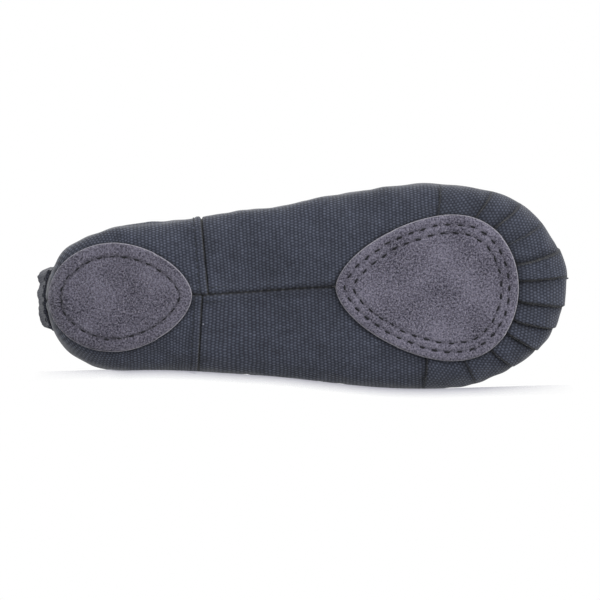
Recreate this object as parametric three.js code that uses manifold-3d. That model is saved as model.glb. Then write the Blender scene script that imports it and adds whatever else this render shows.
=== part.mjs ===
// A split-sole canvas ballet slipper, standing on its two suede sole patches.
//
// Millimetres, +X towards the toe, +Z up, +Y towards the wearer's left. The origin is on the
// floor, under the middle of the slipper's length.
//
// Everything that is sewn to something follows one foot-shaped body: a closed form whose skin
// is the outside of the canvas. Each layer is the space between two offsets of that form, cut
// to its outline, so that canvas, lining, suede, binding and strap stay in step when a size
// changes. The soft canvas is divided where the slipper bends: at the arch, between the two
// halves of the sole, and at the ball of the foot.

import * as THREE from 'three';
import { mergeVertices } from 'three/addons/utils/BufferGeometryUtils.js';
import Module from 'manifold-3d';

const wasm = await Module();
wasm.setup();

// ---- Driving dimensions: the foot-shaped form, measured on the outside of the canvas ----

const BODY_LENGTH = 167.2; // back of the heel to the tip of the toe
const HEEL_WIDTH = 47.2;
const WAIST_WIDTH = 53.4;
const BALL_WIDTH = 65.9;
const WAIST_FROM_HEEL = 67;
const HEEL_ROUND = 27.2; // length over which the heel end closes, seen from below
const TOE_ROUND = 47; // and the toe end
const WIDEST_HEIGHT = 13; // height above the floor at which the form is widest
const HEEL_UNDERCUT = 14; // length over which the sole rises to the back of the heel
const TOE_SPRING = 24; // and to the tip of the toe
const ARCH_RISE = 3; // the sole's lift between the two patches
// Top of the form: share of the length from the heel, and height.
const INSTEP_HEIGHTS = [[0, 62], [0.4, 50], [0.605, 41], [0.735, 34.5], [0.86, 29.5], [1, 25]];
const HEEL_LEAN = 3.4; // how far the drawn-in top edge stands out behind the heel
const HEEL_SLOUCH = 2.2; // the soft upper has settled to the left at the heel
const TOE_SLOUCH = -1; // and to the right at the toe

// ---- Driving dimensions: the opening for the foot ----

const HEEL_TOP = 42;
const SIDE_TOP = 30;
const VAMP_LENGTH = 66; // tip of the toe to the throat
const DIP_TO_THROAT = 34; // lowest place of the sides to the throat
// How the topline climbs from there: distance behind the throat, and rise above the sides.
const THROAT_RISES = [[19, 1.8], [9, 5.4], [2.4, 9.8], [0, 14], [-0.6, 24]];

// ---- Driving dimensions: materials ----

const CANVAS = 1.0;
const LINING = 0.5;
const SUEDE = 1.4;
const TAPE = 0.6;
const BINDING_WIDTH = 8;
const CORD_WIDTH = 2.2; // the flat elastic drawstring, measured down the wall
const CORD_MARGIN = 0.3; // canvas and lining left uncovered on each face of the drawstring
const CORD_OUTLET = 5; // slot in the binding at the throat, for the drawstring's ends
const INSOLE = 2.2;
const STRAP = 1.2;
const STRAP_WIDTH = 10;
const STRAP_TO_THROAT = 21; // middle of the strap to the throat
const STRAP_SEWN = 13; // how far the strap's ends reach down inside the wall
const SEAM_TAPE_WIDTH = 9;
const GAP = 0.3; // clearance between neighbouring pieces

// ---- Driving dimensions: where the canvas is divided ----

const CROSS_SEAM = 50.9; // back of the heel to the seam across the sole
const ARCH_ZONE = 22.5; // length of canvas that folds at the arch
const BALL_ZONE = 26; // length of canvas that folds at the ball
const BALL_ZONE_TO_TOE = 31; // its front edge to the tip of the toe

// ---- Driving dimensions: the suede patches and the pads over them ----

const HEEL_PATCH_LENGTH = 45.5;
const HEEL_PATCH_WIDTH = 34.4;
const HEEL_PATCH_MARGIN = 1.4; // back of the heel to the patch
const FOREFOOT_PATCH_LENGTH = 58.6;
const FOREFOOT_PATCH_WIDTH = 46.6;
const FOREFOOT_PATCH_MARGIN = 15.6; // tip of the toe to the patch
const FOREFOOT_PATCH_TURN = THREE.MathUtils.degToRad(2); // it is sewn on a little askew
const PAD_INSET = 4; // how far each pad stops inside its patch's outline

// ---- Derived sizes ----

const SOLE = SUEDE + GAP; // height of the canvas above the floor, over the patches
const WALL = CANVAS + GAP + LINING; // outside of the canvas to the inside of the lining
const THROAT = BODY_LENGTH - VAMP_LENGTH;
const BALL = BODY_LENGTH - TOE_ROUND;
const BALL_FRONT = BODY_LENGTH - BALL_ZONE_TO_TOE;
const BALL_REAR = BALL_FRONT - BALL_ZONE;
const ARCH_FRONT = CROSS_SEAM + ARCH_ZONE;
const FAR = 150; // beyond every piece

const LENGTHWISE_STEPS = 23;
const STEPS_AROUND = 20;

// ---- The foot-shaped form ----

// A smooth curve through [distance from the heel, value] stations, level at both ends.
function smoothThrough(stations, x) {
  const last = stations.length - 1;
  const slope = (i) => {
    if (i === 0 || i === last) return 0;
    const [before, after] = [stations[i - 1], stations[i + 1]];
    return (after[1] - before[1]) / (after[0] - before[0]);
  };
  if (x <= stations[0][0]) return stations[0][1];
  if (x >= stations[last][0]) return stations[last][1];
  const i = stations.findIndex(([at]) => at > x) - 1;
  const [[x0, y0], [x1, y1]] = [stations[i], stations[i + 1]];
  const span = x1 - x0;
  const t = (x - x0) / span;
  const ease = t * t * (3 - 2 * t);
  return (
    y0 + (y1 - y0) * ease +
    slope(i) * span * (t ** 3 - 2 * t ** 2 + t) +
    slope(i + 1) * span * (t ** 3 - t ** 2)
  );
}

// 1 along the middle of the form, closing to 0 at its end over the given length.
function closing(toEnd, round, fullness) {
  const t = THREE.MathUtils.clamp(1 - toEnd / round, 0, 1);
  return (1 - t ** fullness) ** (1 / fullness);
}

const PLAN = [
  [HEEL_ROUND, HEEL_WIDTH / 2],
  [WAIST_FROM_HEEL, WAIST_WIDTH / 2],
  [BALL, BALL_WIDTH / 2],
];
const INSTEP = INSTEP_HEIGHTS.map(([share, height]) => [BODY_LENGTH * share, height]);
const ARCH_LIFT = [
  [HEEL_PATCH_MARGIN + HEEL_PATCH_LENGTH, 0],
  [(CROSS_SEAM + ARCH_FRONT) / 2 + 6, ARCH_RISE],
  [BODY_LENGTH - FOREFOOT_PATCH_MARGIN - FOREFOOT_PATCH_LENGTH * 0.85, 0],
];

function halfWidth(x) {
  const plan = smoothThrough(PLAN, x);
  return plan * closing(x, HEEL_ROUND, 2.2) * closing(BODY_LENGTH - x, TOE_ROUND, 2.1);
}

function soleHeight(x) {
  return SOLE + smoothThrough(ARCH_LIFT, x);
}

// The upper leans to one side of the sole that it stands on.
function slouch(x, z) {
  const sideways = THREE.MathUtils.lerp(HEEL_SLOUCH, TOE_SLOUCH, x / BODY_LENGTH);
  return sideways * THREE.MathUtils.smoothstep(z, SOLE, 2 * WIDEST_HEIGHT);
}

// One point of the form: x from the heel, and a turn around it that starts under the sole.
function formPoint(x, turn) {
  const toToe = BODY_LENGTH - x;
  const side = Math.sin(turn);
  const up = -Math.cos(turn);
  const flatness = 0.8; // the underside is pressed flat where it would go lower than the sole
  const fullness = up < 0 ? 2 / 3 : 2 / 2.3;
  const y = halfWidth(x) * Math.sign(side) * Math.abs(side) ** fullness;
  const below = (WIDEST_HEIGHT - soleHeight(x) + flatness) *
    closing(x, HEEL_UNDERCUT, 2.6) * closing(toToe, TOE_SPRING, 2.2);
  const above = (smoothThrough(INSTEP, x) - WIDEST_HEIGHT) *
    closing(x, HEEL_UNDERCUT, 4) * closing(toToe, TOE_ROUND * 0.85, 2.2);
  const reach = Math.abs(up) ** fullness;
  const z = WIDEST_HEIGHT + (up < 0 ? -below : above) * reach;
  const rise = Math.max(0, (z - WIDEST_HEIGHT) / (HEEL_TOP - WIDEST_HEIGHT));
  const heelward = THREE.MathUtils.clamp(1 - x / HEEL_ROUND, 0, 1);
  const lean = HEEL_LEAN * rise ** 1.5 * heelward;
  const height = Math.max(z, soleHeight(x));
  return new THREE.Vector3(x - lean, y + slouch(x, height), height);
}

// The form's skin as one closed mesh, with a normal at every corner.
function makeFormSkin() {
  const corners = [];
  const triangles = [];
  for (let i = 0; i <= LENGTHWISE_STEPS; i++) {
    const x = (BODY_LENGTH * (1 - Math.cos((Math.PI * i) / LENGTHWISE_STEPS))) / 2;
    for (let j = 0; j < STEPS_AROUND; j++) {
      corners.push(...formPoint(x, (2 * Math.PI * j) / STEPS_AROUND).toArray());
    }
  }
  for (let i = 0; i < LENGTHWISE_STEPS; i++) {
    for (let j = 0; j < STEPS_AROUND; j++) {
      const next = (j + 1) % STEPS_AROUND;
      const [a, b] = [i * STEPS_AROUND + j, i * STEPS_AROUND + next];
      const [c, d] = [a + STEPS_AROUND, b + STEPS_AROUND];
      triangles.push(a, b, c, b, d, c);
    }
  }
  const skin = new THREE.BufferGeometry();
  skin.setAttribute('position', new THREE.Float32BufferAttribute(corners, 3));
  skin.setIndex(triangles);
  const closed = mergeVertices(skin, 1e-3);
  closed.computeVertexNormals();
  return closed;
}

// ---- Solids ----

function toSolid(geometry) {
  const bare = geometry.clone();
  bare.deleteAttribute('normal');
  bare.deleteAttribute('uv');
  const merged = mergeVertices(bare, 1e-3);
  const index = merged.index.array;
  const kept = [];
  for (let i = 0; i < index.length; i += 3) {
    const [a, b, c] = index.slice(i, i + 3);
    if (a !== b && b !== c && c !== a) kept.push(a, b, c);
  }
  return new wasm.Manifold(new wasm.Mesh({
    numProp: 3,
    vertProperties: new Float32Array(merged.attributes.position.array),
    triVerts: new Uint32Array(kept),
  }));
}

const skin = makeFormSkin();
const offsets = new Map();

// The form grown outwards by a distance, or shrunk inwards by a negative one.
function form(offset) {
  if (!offsets.has(offset)) {
    const grown = skin.clone();
    const { position, normal } = grown.attributes;
    for (let i = 0; i < position.count; i++) {
      const corner = new THREE.Vector3().fromBufferAttribute(position, i);
      const out = new THREE.Vector3().fromBufferAttribute(normal, i);
      corner.addScaledVector(out, offset);
      position.setXYZ(i, corner.x, corner.y, corner.z);
    }
    offsets.set(offset, toSolid(grown));
  }
  return offsets.get(offset);
}

function layer(outer, inner) {
  return form(outer).subtract(form(inner));
}

function box(x0, x1, y0, y1, z0, z1) {
  const block = new THREE.BoxGeometry(x1 - x0, y1 - y0, z1 - z0);
  block.translate((x0 + x1) / 2, (y0 + y1) / 2, (z0 + z1) / 2);
  return toSolid(block);
}

// All that lies between two distances from the heel, less half a clearance at each cut.
function lengthwise(from, to) {
  return box(from + GAP / 2, to - GAP / 2, -FAR, FAR, -FAR, FAR);
}

function leftHalf() {
  return box(-FAR, 2 * FAR, GAP / 2, FAR, -FAR, FAR);
}

function rightHalf() {
  return box(-FAR, 2 * FAR, -FAR, -GAP / 2, -FAR, FAR);
}

// A straight-sided solid over an outline drawn on the floor.
function standing(outline, bottom, top) {
  const block = new THREE.ExtrudeGeometry(new THREE.Shape(outline), {
    depth: top - bottom,
    bevelEnabled: false,
  });
  block.translate(0, 0, bottom);
  return toSolid(block);
}

// ---- The opening: a line seen from the side, from the back of the heel to the throat ----

function toplineCurve() {
  const dip = THROAT - DIP_TO_THROAT;
  return new THREE.SplineCurve([
    new THREE.Vector2(-12, HEEL_TOP + 1),
    new THREE.Vector2(2, HEEL_TOP - 0.5),
    new THREE.Vector2(dip * 0.36, (HEEL_TOP + SIDE_TOP) / 2),
    new THREE.Vector2(dip * 0.7, SIDE_TOP + 0.8),
    new THREE.Vector2(dip, SIDE_TOP),
    ...THROAT_RISES.map(([behind, rise]) => new THREE.Vector2(THROAT - behind, SIDE_TOP + rise)),
  ]);
}

// All that lies above the topline, once that line is moved into the slipper by a depth.
function above(depth) {
  const topline = toplineCurve();
  const samples = 20;
  const edge = [];
  for (let i = 0; i <= samples; i++) {
    const along = topline.getTangentAt(i / samples);
    const inward = new THREE.Vector2(along.y, -along.x);
    edge.push(topline.getPointAt(i / samples).addScaledVector(inward, depth));
  }
  const [start, end] = [edge[0], edge[samples]];
  edge.push(new THREE.Vector2(end.x, FAR), new THREE.Vector2(start.x, FAR));
  const wedge = new THREE.ExtrudeGeometry(new THREE.Shape(edge), {
    depth: 2 * FAR,
    bevelEnabled: false,
  });
  wedge.rotateX(Math.PI / 2);
  wedge.translate(0, FAR, 0);
  return toSolid(wedge);
}

const CORD_TOP = TAPE + GAP;
const CLOTH_TOP = CORD_TOP + CORD_WIDTH + GAP; // canvas and lining end under the drawstring

// ---- The pieces ----

const slipper = new THREE.Group();

const LOOKS = {
  canvas: { color: 0x454a55, roughness: 0.9, metalness: 0 },
  lining: { color: 0x6b6d75, roughness: 0.95, metalness: 0 },
  suede: { color: 0x615e6e, roughness: 0.98, metalness: 0 },
  elastic: { color: 0x2e3036, roughness: 0.8, metalness: 0 },
  binding: { color: 0x555662, roughness: 0.85, metalness: 0 },
  tape: { color: 0x50525c, roughness: 0.9, metalness: 0 },
  padding: { color: 0x74757e, roughness: 0.95, metalness: 0 },
};

function addPiece(name, look, solid) {
  const { vertProperties, triVerts } = solid.getMesh();
  const geometry = new THREE.BufferGeometry();
  geometry.setAttribute('position', new THREE.Float32BufferAttribute(vertProperties, 3));
  geometry.setIndex([...triVerts]);
  geometry.computeVertexNormals();
  const mesh = new THREE.Mesh(geometry, new THREE.MeshStandardMaterial(LOOKS[look]));
  mesh.name = name;
  slipper.add(mesh);
}

// Canvas: two heel quarters, and the vamp, which folds at the arch and at the ball.
function addCanvas() {
  const canvas = layer(0, -CANVAS).subtract(above(CLOTH_TOP));
  const heel = canvas.intersect(lengthwise(-FAR, CROSS_SEAM));
  const arch = canvas.intersect(lengthwise(CROSS_SEAM, ARCH_FRONT));
  addPiece('heel_quarter_left', 'canvas', heel.intersect(leftHalf()));
  addPiece('heel_quarter_right', 'canvas', heel.intersect(rightHalf()));
  addPiece('vamp_wing_left', 'canvas', arch.intersect(leftHalf()));
  addPiece('vamp_wing_right', 'canvas', arch.intersect(rightHalf()));
  addPiece('vamp_front', 'canvas', canvas.intersect(lengthwise(ARCH_FRONT, BALL_REAR)));
  addPiece('vamp_ball', 'canvas', canvas.intersect(lengthwise(BALL_REAR, BALL_FRONT)));
  addPiece('vamp_toe', 'canvas', canvas.intersect(lengthwise(BALL_FRONT, 2 * FAR)));
}

// Cotton lining, one thin layer inside the canvas.
function addLining() {
  const outside = -CANVAS - GAP;
  const lining = layer(outside, outside - LINING).subtract(above(CLOTH_TOP));
  const stretches = [
    ['lining_heel', -FAR, CROSS_SEAM],
    ['lining_arch', CROSS_SEAM, ARCH_FRONT],
    ['lining_front', ARCH_FRONT, BALL_REAR],
    ['lining_ball', BALL_REAR, BALL_FRONT],
    ['lining_toe', BALL_FRONT, 2 * FAR],
  ];
  for (const [name, from, to] of stretches) {
    addPiece(name, 'lining', lining.intersect(lengthwise(from, to)));
  }
}

// The binding is folded over the raw edge: two legs and a fold, open underneath, so that it
// makes the casing in which the drawstring lies above the edge of the cloth.
function addBindingAndDrawstring() {
  const band = layer(GAP + TAPE, -WALL - GAP - TAPE)
    .intersect(above(BINDING_WIDTH))
    .subtract(above(0));
  const channel = layer(GAP, -WALL - GAP).subtract(above(TAPE));
  const binding = band.subtract(channel);
  const cord = layer(-CORD_MARGIN, -WALL + CORD_MARGIN)
    .intersect(above(CORD_TOP + CORD_WIDTH))
    .subtract(above(CORD_TOP));
  const outlet = box(
    THROAT + CORD_TOP, THROAT + CORD_TOP + CORD_WIDTH,
    -CORD_OUTLET / 2, CORD_OUTLET / 2,
    smoothThrough(INSTEP, THROAT) - WALL, FAR,
  );
  const wraps = [
    ['binding', 'binding', binding.subtract(outlet)],
    ['drawstring', 'elastic', cord],
  ];
  for (const [name, look, ring] of wraps) {
    const sides = ring.intersect(lengthwise(CROSS_SEAM, ARCH_FRONT));
    addPiece(`${name}_heel`, look, ring.intersect(lengthwise(-FAR, CROSS_SEAM)));
    addPiece(`${name}_left`, look, sides.intersect(leftHalf()));
    addPiece(`${name}_right`, look, sides.intersect(rightHalf()));
    addPiece(`${name}_throat`, look, ring.intersect(lengthwise(ARCH_FRONT, 2 * FAR)));
  }
}

// A rounded outline whose widest place lies at a share of its length. At each end, [taper,
// fullness] say how quickly it narrows and how blunt it finishes.
function lobeOutline(length, width, { widestAt, rear, front }) {
  const half = [];
  const steps = 12;
  for (let i = 0; i <= steps; i++) {
    const along = (1 - Math.cos((Math.PI * i) / steps)) / 2;
    const [taper, fullness] = along < widestAt ? rear : front;
    const toEnd = along < widestAt
      ? (widestAt - along) / widestAt
      : (along - widestAt) / (1 - widestAt);
    const across = (1 - toEnd ** taper) ** fullness;
    half.push(new THREE.Vector2(length * along, (width / 2) * across));
  }
  const far = half.slice(1, -1).map(({ x, y }) => new THREE.Vector2(x, -y));
  return [...half.reverse(), ...far];
}

const HEEL_LOBE = { widestAt: 0.45, rear: [2, 0.5], front: [1.8, 0.58] };
const FOREFOOT_LOBE = { widestAt: 0.62, rear: [1.6, 0.6], front: [2.4, 0.5] };

function placed(outline, x, turn = 0) {
  const middle = new THREE.Vector2(Math.max(...outline.map((p) => p.x)) / 2, 0);
  return outline.map((p) => {
    const moved = p.clone().rotateAround(middle, turn);
    moved.x += x;
    return moved;
  });
}

// A pad lies on the lining over each patch, and stops a little inside the patch's outline.
function padOver(outline) {
  const surface = -WALL - GAP;
  return form(surface).intersect(standing(outline, -FAR, SOLE - surface + INSOLE));
}

// Suede outside and a pad inside, at the heel and under the ball of the foot.
function addSole() {
  const suede = layer(GAP + SUEDE, GAP);
  const patches = [
    ['heel', HEEL_PATCH_LENGTH, HEEL_PATCH_WIDTH, HEEL_LOBE, HEEL_PATCH_MARGIN, 0],
    [
      'forefoot', FOREFOOT_PATCH_LENGTH, FOREFOOT_PATCH_WIDTH, FOREFOOT_LOBE,
      BODY_LENGTH - FOREFOOT_PATCH_MARGIN - FOREFOOT_PATCH_LENGTH, FOREFOOT_PATCH_TURN,
    ],
  ];
  for (const [name, length, width, lobe, rear, turn] of patches) {
    const patch = placed(lobeOutline(length, width, lobe), rear, turn);
    const pad = placed(
      lobeOutline(length - 2 * PAD_INSET, width - 2 * PAD_INSET, lobe),
      rear + PAD_INSET,
      turn,
    );
    const under = standing(patch, -FAR, WIDEST_HEIGHT);
    addPiece(`${name}_patch`, 'suede', suede.intersect(under));
    addPiece(`${name}_insole`, 'padding', padOver(pad));
  }
}

// Tapes cover the seams on the inside: up the back of the heel, and along the arch.
function addSeamTapes() {
  const surface = -WALL - GAP;
  const tape = layer(surface, surface - TAPE);
  const half = SEAM_TAPE_WIDTH / 2;
  const pads = SOLE + WALL + GAP + INSOLE + GAP;
  const back = tape
    .subtract(above(BINDING_WIDTH + GAP))
    .intersect(box(-FAR, HEEL_ROUND / 2, -half, half, pads, FAR));
  addPiece('back_seam_tape', 'tape', back);
  const archTape = box(CROSS_SEAM + GAP, ARCH_FRONT - GAP, -half, half, 0, WIDEST_HEIGHT);
  addPiece('sole_seam_tape', 'tape', tape.intersect(archTape));
}

// One elastic strap over the instep. Its ends are sewn inside the wall, behind the binding.
function addStrap() {
  const outside = -WALL - 2 * GAP - TAPE;
  const middle = THROAT - STRAP_TO_THROAT;
  const reach = box(
    middle - STRAP_WIDTH / 2, middle + STRAP_WIDTH / 2,
    -FAR, FAR,
    SIDE_TOP - STRAP_SEWN, FAR,
  );
  addPiece('instep_strap', 'elastic', layer(outside, outside - STRAP).intersect(reach));
}

addCanvas();
addLining();
addBindingAndDrawstring();
addSole();
addSeamTapes();
addStrap();

const middle = new THREE.Box3().setFromObject(slipper).getCenter(new THREE.Vector3());
slipper.position.set(-middle.x, -middle.y, 0);
slipper.updateMatrixWorld(true);

export default slipper;
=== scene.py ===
# %% [markdown]
# # A split-sole ballet slipper, sewn from canvas and suede
#
# A soft slipper is nothing but cloth, suede and thread around a foot-shaped space. Every
# layer follows the same rounded form, so this lesson builds that form once, as a table of
# points, and then lays each piece on it: canvas, lining, gathered binding, elastic, suede
# patches, pads, tapes and stitches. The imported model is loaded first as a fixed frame. It
# gives every position, and its joints move the finished pieces.

import math

import bpy
import numpy as np
from mathutils import Matrix, Vector


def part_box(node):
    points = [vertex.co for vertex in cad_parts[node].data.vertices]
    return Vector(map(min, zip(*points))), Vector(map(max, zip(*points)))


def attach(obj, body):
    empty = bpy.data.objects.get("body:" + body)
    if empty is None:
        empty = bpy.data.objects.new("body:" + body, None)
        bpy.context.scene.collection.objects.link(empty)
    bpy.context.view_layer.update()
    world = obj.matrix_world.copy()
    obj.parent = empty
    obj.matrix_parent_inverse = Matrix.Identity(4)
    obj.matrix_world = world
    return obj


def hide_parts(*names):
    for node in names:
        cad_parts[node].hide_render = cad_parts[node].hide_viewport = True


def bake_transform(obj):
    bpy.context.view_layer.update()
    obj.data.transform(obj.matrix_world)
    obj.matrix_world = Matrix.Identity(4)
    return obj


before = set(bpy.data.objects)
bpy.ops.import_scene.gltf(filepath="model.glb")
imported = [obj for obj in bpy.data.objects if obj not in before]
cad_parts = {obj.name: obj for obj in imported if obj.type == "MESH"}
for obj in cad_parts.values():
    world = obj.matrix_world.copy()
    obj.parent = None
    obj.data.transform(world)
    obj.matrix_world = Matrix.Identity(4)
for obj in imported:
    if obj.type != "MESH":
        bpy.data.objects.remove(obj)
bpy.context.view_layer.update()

# %% [markdown]
# ## Millimetres from the heel
#
# A shoemaker measures from the back of the heel. All shapes below are worked out in
# millimetres, as distance from the heel, distance to the wearer's left, and height, and one
# function turns them into metres in the frame.

# %% From the heel to the frame
MM = 0.001
BODY_LENGTH = 167.2
toe_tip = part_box("vamp_toe")[1].x
patch_low, patch_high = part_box("heel_patch")
HEEL_BACK = np.array([toe_tip - BODY_LENGTH * MM, (patch_low.y + patch_high.y) / 2, 0.0])


def in_frame(points):
    """Points in millimetres from the heel, turned into metres in the frame."""
    return np.asarray(points, float) * MM + HEEL_BACK


print("back of the heel at", np.round(HEEL_BACK, 5))

# %% [markdown]
# ## The camera
#
# The slipper is seen square on to its sole. A long lens far away keeps the outline true. The
# camera looks up at the sole with the heel to the left, turned nearly two degrees, and it
# leans a little towards the side that the slipper rests on, so that a narrow band of that
# surface shows below it.

# %% Camera
FIELD = 0.1928  # width of what the lens takes in at the sole
DISTANCE = 2.4
SENSOR = 36.0
lean_down = math.radians(2.5)
roll = math.radians(1.75)
forward = Vector((0, math.sin(lean_down), math.cos(lean_down)))
flat_up = Vector((0, -math.cos(lean_down), math.sin(lean_down)))
flat_right = forward.cross(flat_up)
right = flat_right * math.cos(roll) - flat_up * math.sin(roll)
up = flat_right * math.sin(roll) + flat_up * math.cos(roll)
look_at = Vector((-0.0003, 0.0030, 0.008))

lens = bpy.data.cameras.new("camera")
lens.sensor_width = SENSOR
lens.lens = SENSOR * DISTANCE / FIELD
lens.clip_start, lens.clip_end = 0.05, 30
camera = bpy.data.objects.new("camera", lens)
bpy.context.scene.collection.objects.link(camera)
turned = Matrix((right, up, -forward)).transposed().to_4x4()
camera.matrix_world = Matrix.Translation(look_at - forward * DISTANCE) @ turned
bpy.context.scene.camera = camera
print("lens", round(lens.lens), "mm")

# %% [markdown]
# ## The foot-shaped form
#
# The form has a flat-bottomed lower half and a domed upper half, which meet where it is
# widest. Both are rounded rectangles in section, and both close towards the heel and the
# toe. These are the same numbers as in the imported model, so that every piece lies where the
# frame says.

# %% Shape of the form
WIDEST = 13.0  # height at which the form is widest
SOLE = 1.7  # suede and a hair of clearance under the canvas
HEEL_ROUND, TOE_ROUND = 27.2, 47.0
HEEL_TOP, SIDE_TOP = 42.0, 30.0
THROAT = BODY_LENGTH - 66
BALL = BODY_LENGTH - TOE_ROUND
CROSS_SEAM = 50.9
PLAN = [(HEEL_ROUND, 23.6), (67, 26.7), (BALL, 32.95)]
INSTEP = [(0, 62), (66.88, 50), (101.16, 41), (122.89, 34.5), (143.79, 29.5), (167.2, 25)]
ARCH_LIFT = [(46.9, 0), (68.15, 3), (101.79, 0)]
print("a slipper", BODY_LENGTH, "mm long, open over", round(THROAT, 1), "mm of that")


# %% Smooth lines and soft steps
def through(stations, x):
    """A smooth line through (place, value) pairs, level at both ends."""
    at, value = np.array(stations, float).T
    slope = np.zeros(len(at))
    slope[1:-1] = (value[2:] - value[:-2]) / (at[2:] - at[:-2])
    i = np.clip(np.searchsorted(at, x, side="right") - 1, 0, len(at) - 2)
    span = at[i + 1] - at[i]
    t = np.clip((x - at[i]) / span, 0, 1)
    ease = t * t * (3 - 2 * t)
    bend = slope[i] * (t**3 - 2 * t**2 + t) + slope[i + 1] * (t**3 - t**2)
    return value[i] + (value[i + 1] - value[i]) * ease + span * bend


def closing(to_end, length, fullness):
    t = np.clip(1 - to_end / length, 0, 1)
    return (1 - t**fullness) ** (1 / fullness)


def eased(low, high, x):
    """0 below low, 1 above high, and a soft step between."""
    t = np.clip((x - low) / (high - low), 0, 1)
    return t * t * (3 - 2 * t)


print("a quarter of the way up, a soft step has risen by", eased(0, 4, 1))


# %% Widths and heights
def half_width(d):
    return (
        through(PLAN, d)
        * closing(d, HEEL_ROUND, 2.2)
        * closing(BODY_LENGTH - d, TOE_ROUND, 2.1)
    )


def lowest(d):
    return SOLE + through(ARCH_LIFT, d)


def height(d, y, upper):
    """Height of the form over a place on the floor, for its upper or lower half."""
    q = np.clip(np.abs(y) / np.maximum(half_width(d), 1e-9), 0, 1)
    toe = BODY_LENGTH - d
    if upper:
        rise = (through(INSTEP, d) - WIDEST) * closing(d, 14, 4) * closing(toe, 39.95, 2.2)
        return WIDEST + rise * (1 - q**2.3) ** (1 / 2.3)
    drop = (WIDEST - lowest(d) + 0.8) * closing(d, 14, 2.6) * closing(toe, 24, 2.2)
    return np.maximum(WIDEST - drop * (1 - q**3) ** (1 / 3), lowest(d))


print("widest at the ball:", round(2 * float(half_width(np.array(BALL))), 1), "mm")

# %% [markdown]
# Cloth that nobody wears settles. The upper leans back behind the heel, closes inwards towards
# its edge, slouches to one side of its sole, and is a little fuller or slacker in places.


# %% How the cloth settles
def settled(d, y, z):
    """Places on the form, moved to where the soft cloth settles."""
    rise = np.clip((z - WIDEST) / (HEEL_TOP - WIDEST), 0, 1)
    behind = rise**4 * (1 - eased(8.6, 11.2, np.abs(y))) * np.clip(1 - d / HEEL_ROUND, 0, 1)
    heel_side = -0.065 * np.exp(-(((d - 17) / 13) ** 2)) * (y < 0)
    toe_side = np.where(y < 0, 0.05 * np.exp(-(((d - 152) / 14) ** 2)), 0)
    toe_side = np.where(y > 0, 0.035 * np.exp(-(((d - 137) / 12) ** 2)), toe_side)
    inwards = (1 - 0.07 * eased(WIDEST, 36, z)) * (1 + (heel_side + toe_side) * eased(3, 12, z))
    upright = 1 - 0.4 * eased(20, 40, z) * np.clip(1 - d / 60, 0, 1)
    slouch = (2.2 - 3.2 * d / BODY_LENGTH) * eased(SOLE, 2 * WIDEST, z) * upright
    return np.stack([d - (d + 3.2) * behind, y * inwards + slouch, z], -1)


heel_top = settled(0, 0, HEEL_TOP)
print("the top of the heel leans back", round(-float(heel_top[0]), 1), "mm")

# %% [markdown]
# ## The topline
#
# The topline is the edge of the opening. Seen from the side it dips from the heel to the
# instep and climbs to the throat. A spline through a few points draws it.

# %% Topline, seen from the side
dip = THROAT - 34  # the lowest place of the opening
TOPLINE = [
    (-12, HEEL_TOP + 1), (2, HEEL_TOP - 0.5), (dip * 0.36, (HEEL_TOP + SIDE_TOP) / 2),
    (dip * 0.7, SIDE_TOP + 0.8), (dip, SIDE_TOP), (THROAT - 19, SIDE_TOP + 1.8),
    (THROAT - 9, SIDE_TOP + 5.4), (THROAT - 2.4, SIDE_TOP + 9.8), (THROAT, SIDE_TOP + 14),
    (THROAT + 0.6, SIDE_TOP + 24),
]  # fmt: skip


def spline(points, steps):
    p = np.array(points, float)
    t = np.linspace(0, len(p) - 1, steps)
    i = np.minimum(t.astype(int), len(p) - 2)
    f = (t - i)[:, None]
    p0, p1, p2 = p[np.maximum(i - 1, 0)], p[i], p[i + 1]
    p3 = p[np.minimum(i + 2, len(p) - 1)]
    v0, v1 = (p2 - p0) / 2, (p3 - p1) / 2
    cubic = (2 * p1 - 2 * p2 + v0 + v1) * f**3
    return cubic + (-3 * p1 + 3 * p2 - 2 * v0 - v1) * f**2 + v0 * f + p1


side_view = spline(TOPLINE, 600)
print("topline drops to", round(float(side_view[:, 1].min()), 1), "mm at the sides")

# %% [markdown]
# ## Columns round the form
#
# Cloth runs round a slipper, so the table has one column for each place round its outline.
# A column starts on the middle line of the sole, comes out to the widest place, and climbs
# to the topline. Under the ball, and at the heel, the columns spread like a fan. The seam
# lines and the places where the slipper bends fall between columns.

# %% Columns round the outline
SPLIT = 83.7  # where the vamp's rear and front pieces are joined
TOP_CENTRE = 84.0  # the upper columns of the toe fan out from here
outline_d = BODY_LENGTH * (1 - np.cos(np.linspace(0, math.pi, 6001))) / 2
outline_y = half_width(outline_d)
outline_at = np.r_[0, np.cumsum(np.hypot(np.diff(outline_d), np.diff(outline_y)))]
STEPS = {"heel": 84, "quarter": 34, "arch": 46, "front": 44, "toe": 190}
stops = [0, HEEL_ROUND, CROSS_SEAM, SPLIT, BALL, BODY_LENGTH]
marks = np.interp(stops, outline_d, outline_at)
around = [marks[:1]]
for a, b, (part, n) in zip(marks[:-1], marks[1:], STEPS.items()):
    share = np.linspace(0, 1, n + 1)[1:]
    if part == "quarter":  # closer together towards the seam across the sole
        share = 1 - (1 - share) ** 1.4
    if part == "arch":
        share = share**1.4
    around.append(a + (b - a) * share)
around = np.concatenate(around)
one_side = np.interp(around, outline_at, outline_d)
edges = np.cumsum([0, *STEPS.values()])  # column number of each stop
COLUMNS = 2 * edges[-1]  # left side, heel to toe, then right side, toe to heel
order = np.r_[np.arange(edges[-1] + 1), np.arange(edges[-1] - 1, 0, -1)]
column_d = one_side[order]
column_side = np.r_[np.ones(edges[-1] + 1), -np.ones(edges[-1] - 1)]
column_y = half_width(column_d) * column_side
to_toe = (outline_at[-1] - around)[order] * column_side  # round the outline from the toe
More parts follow.
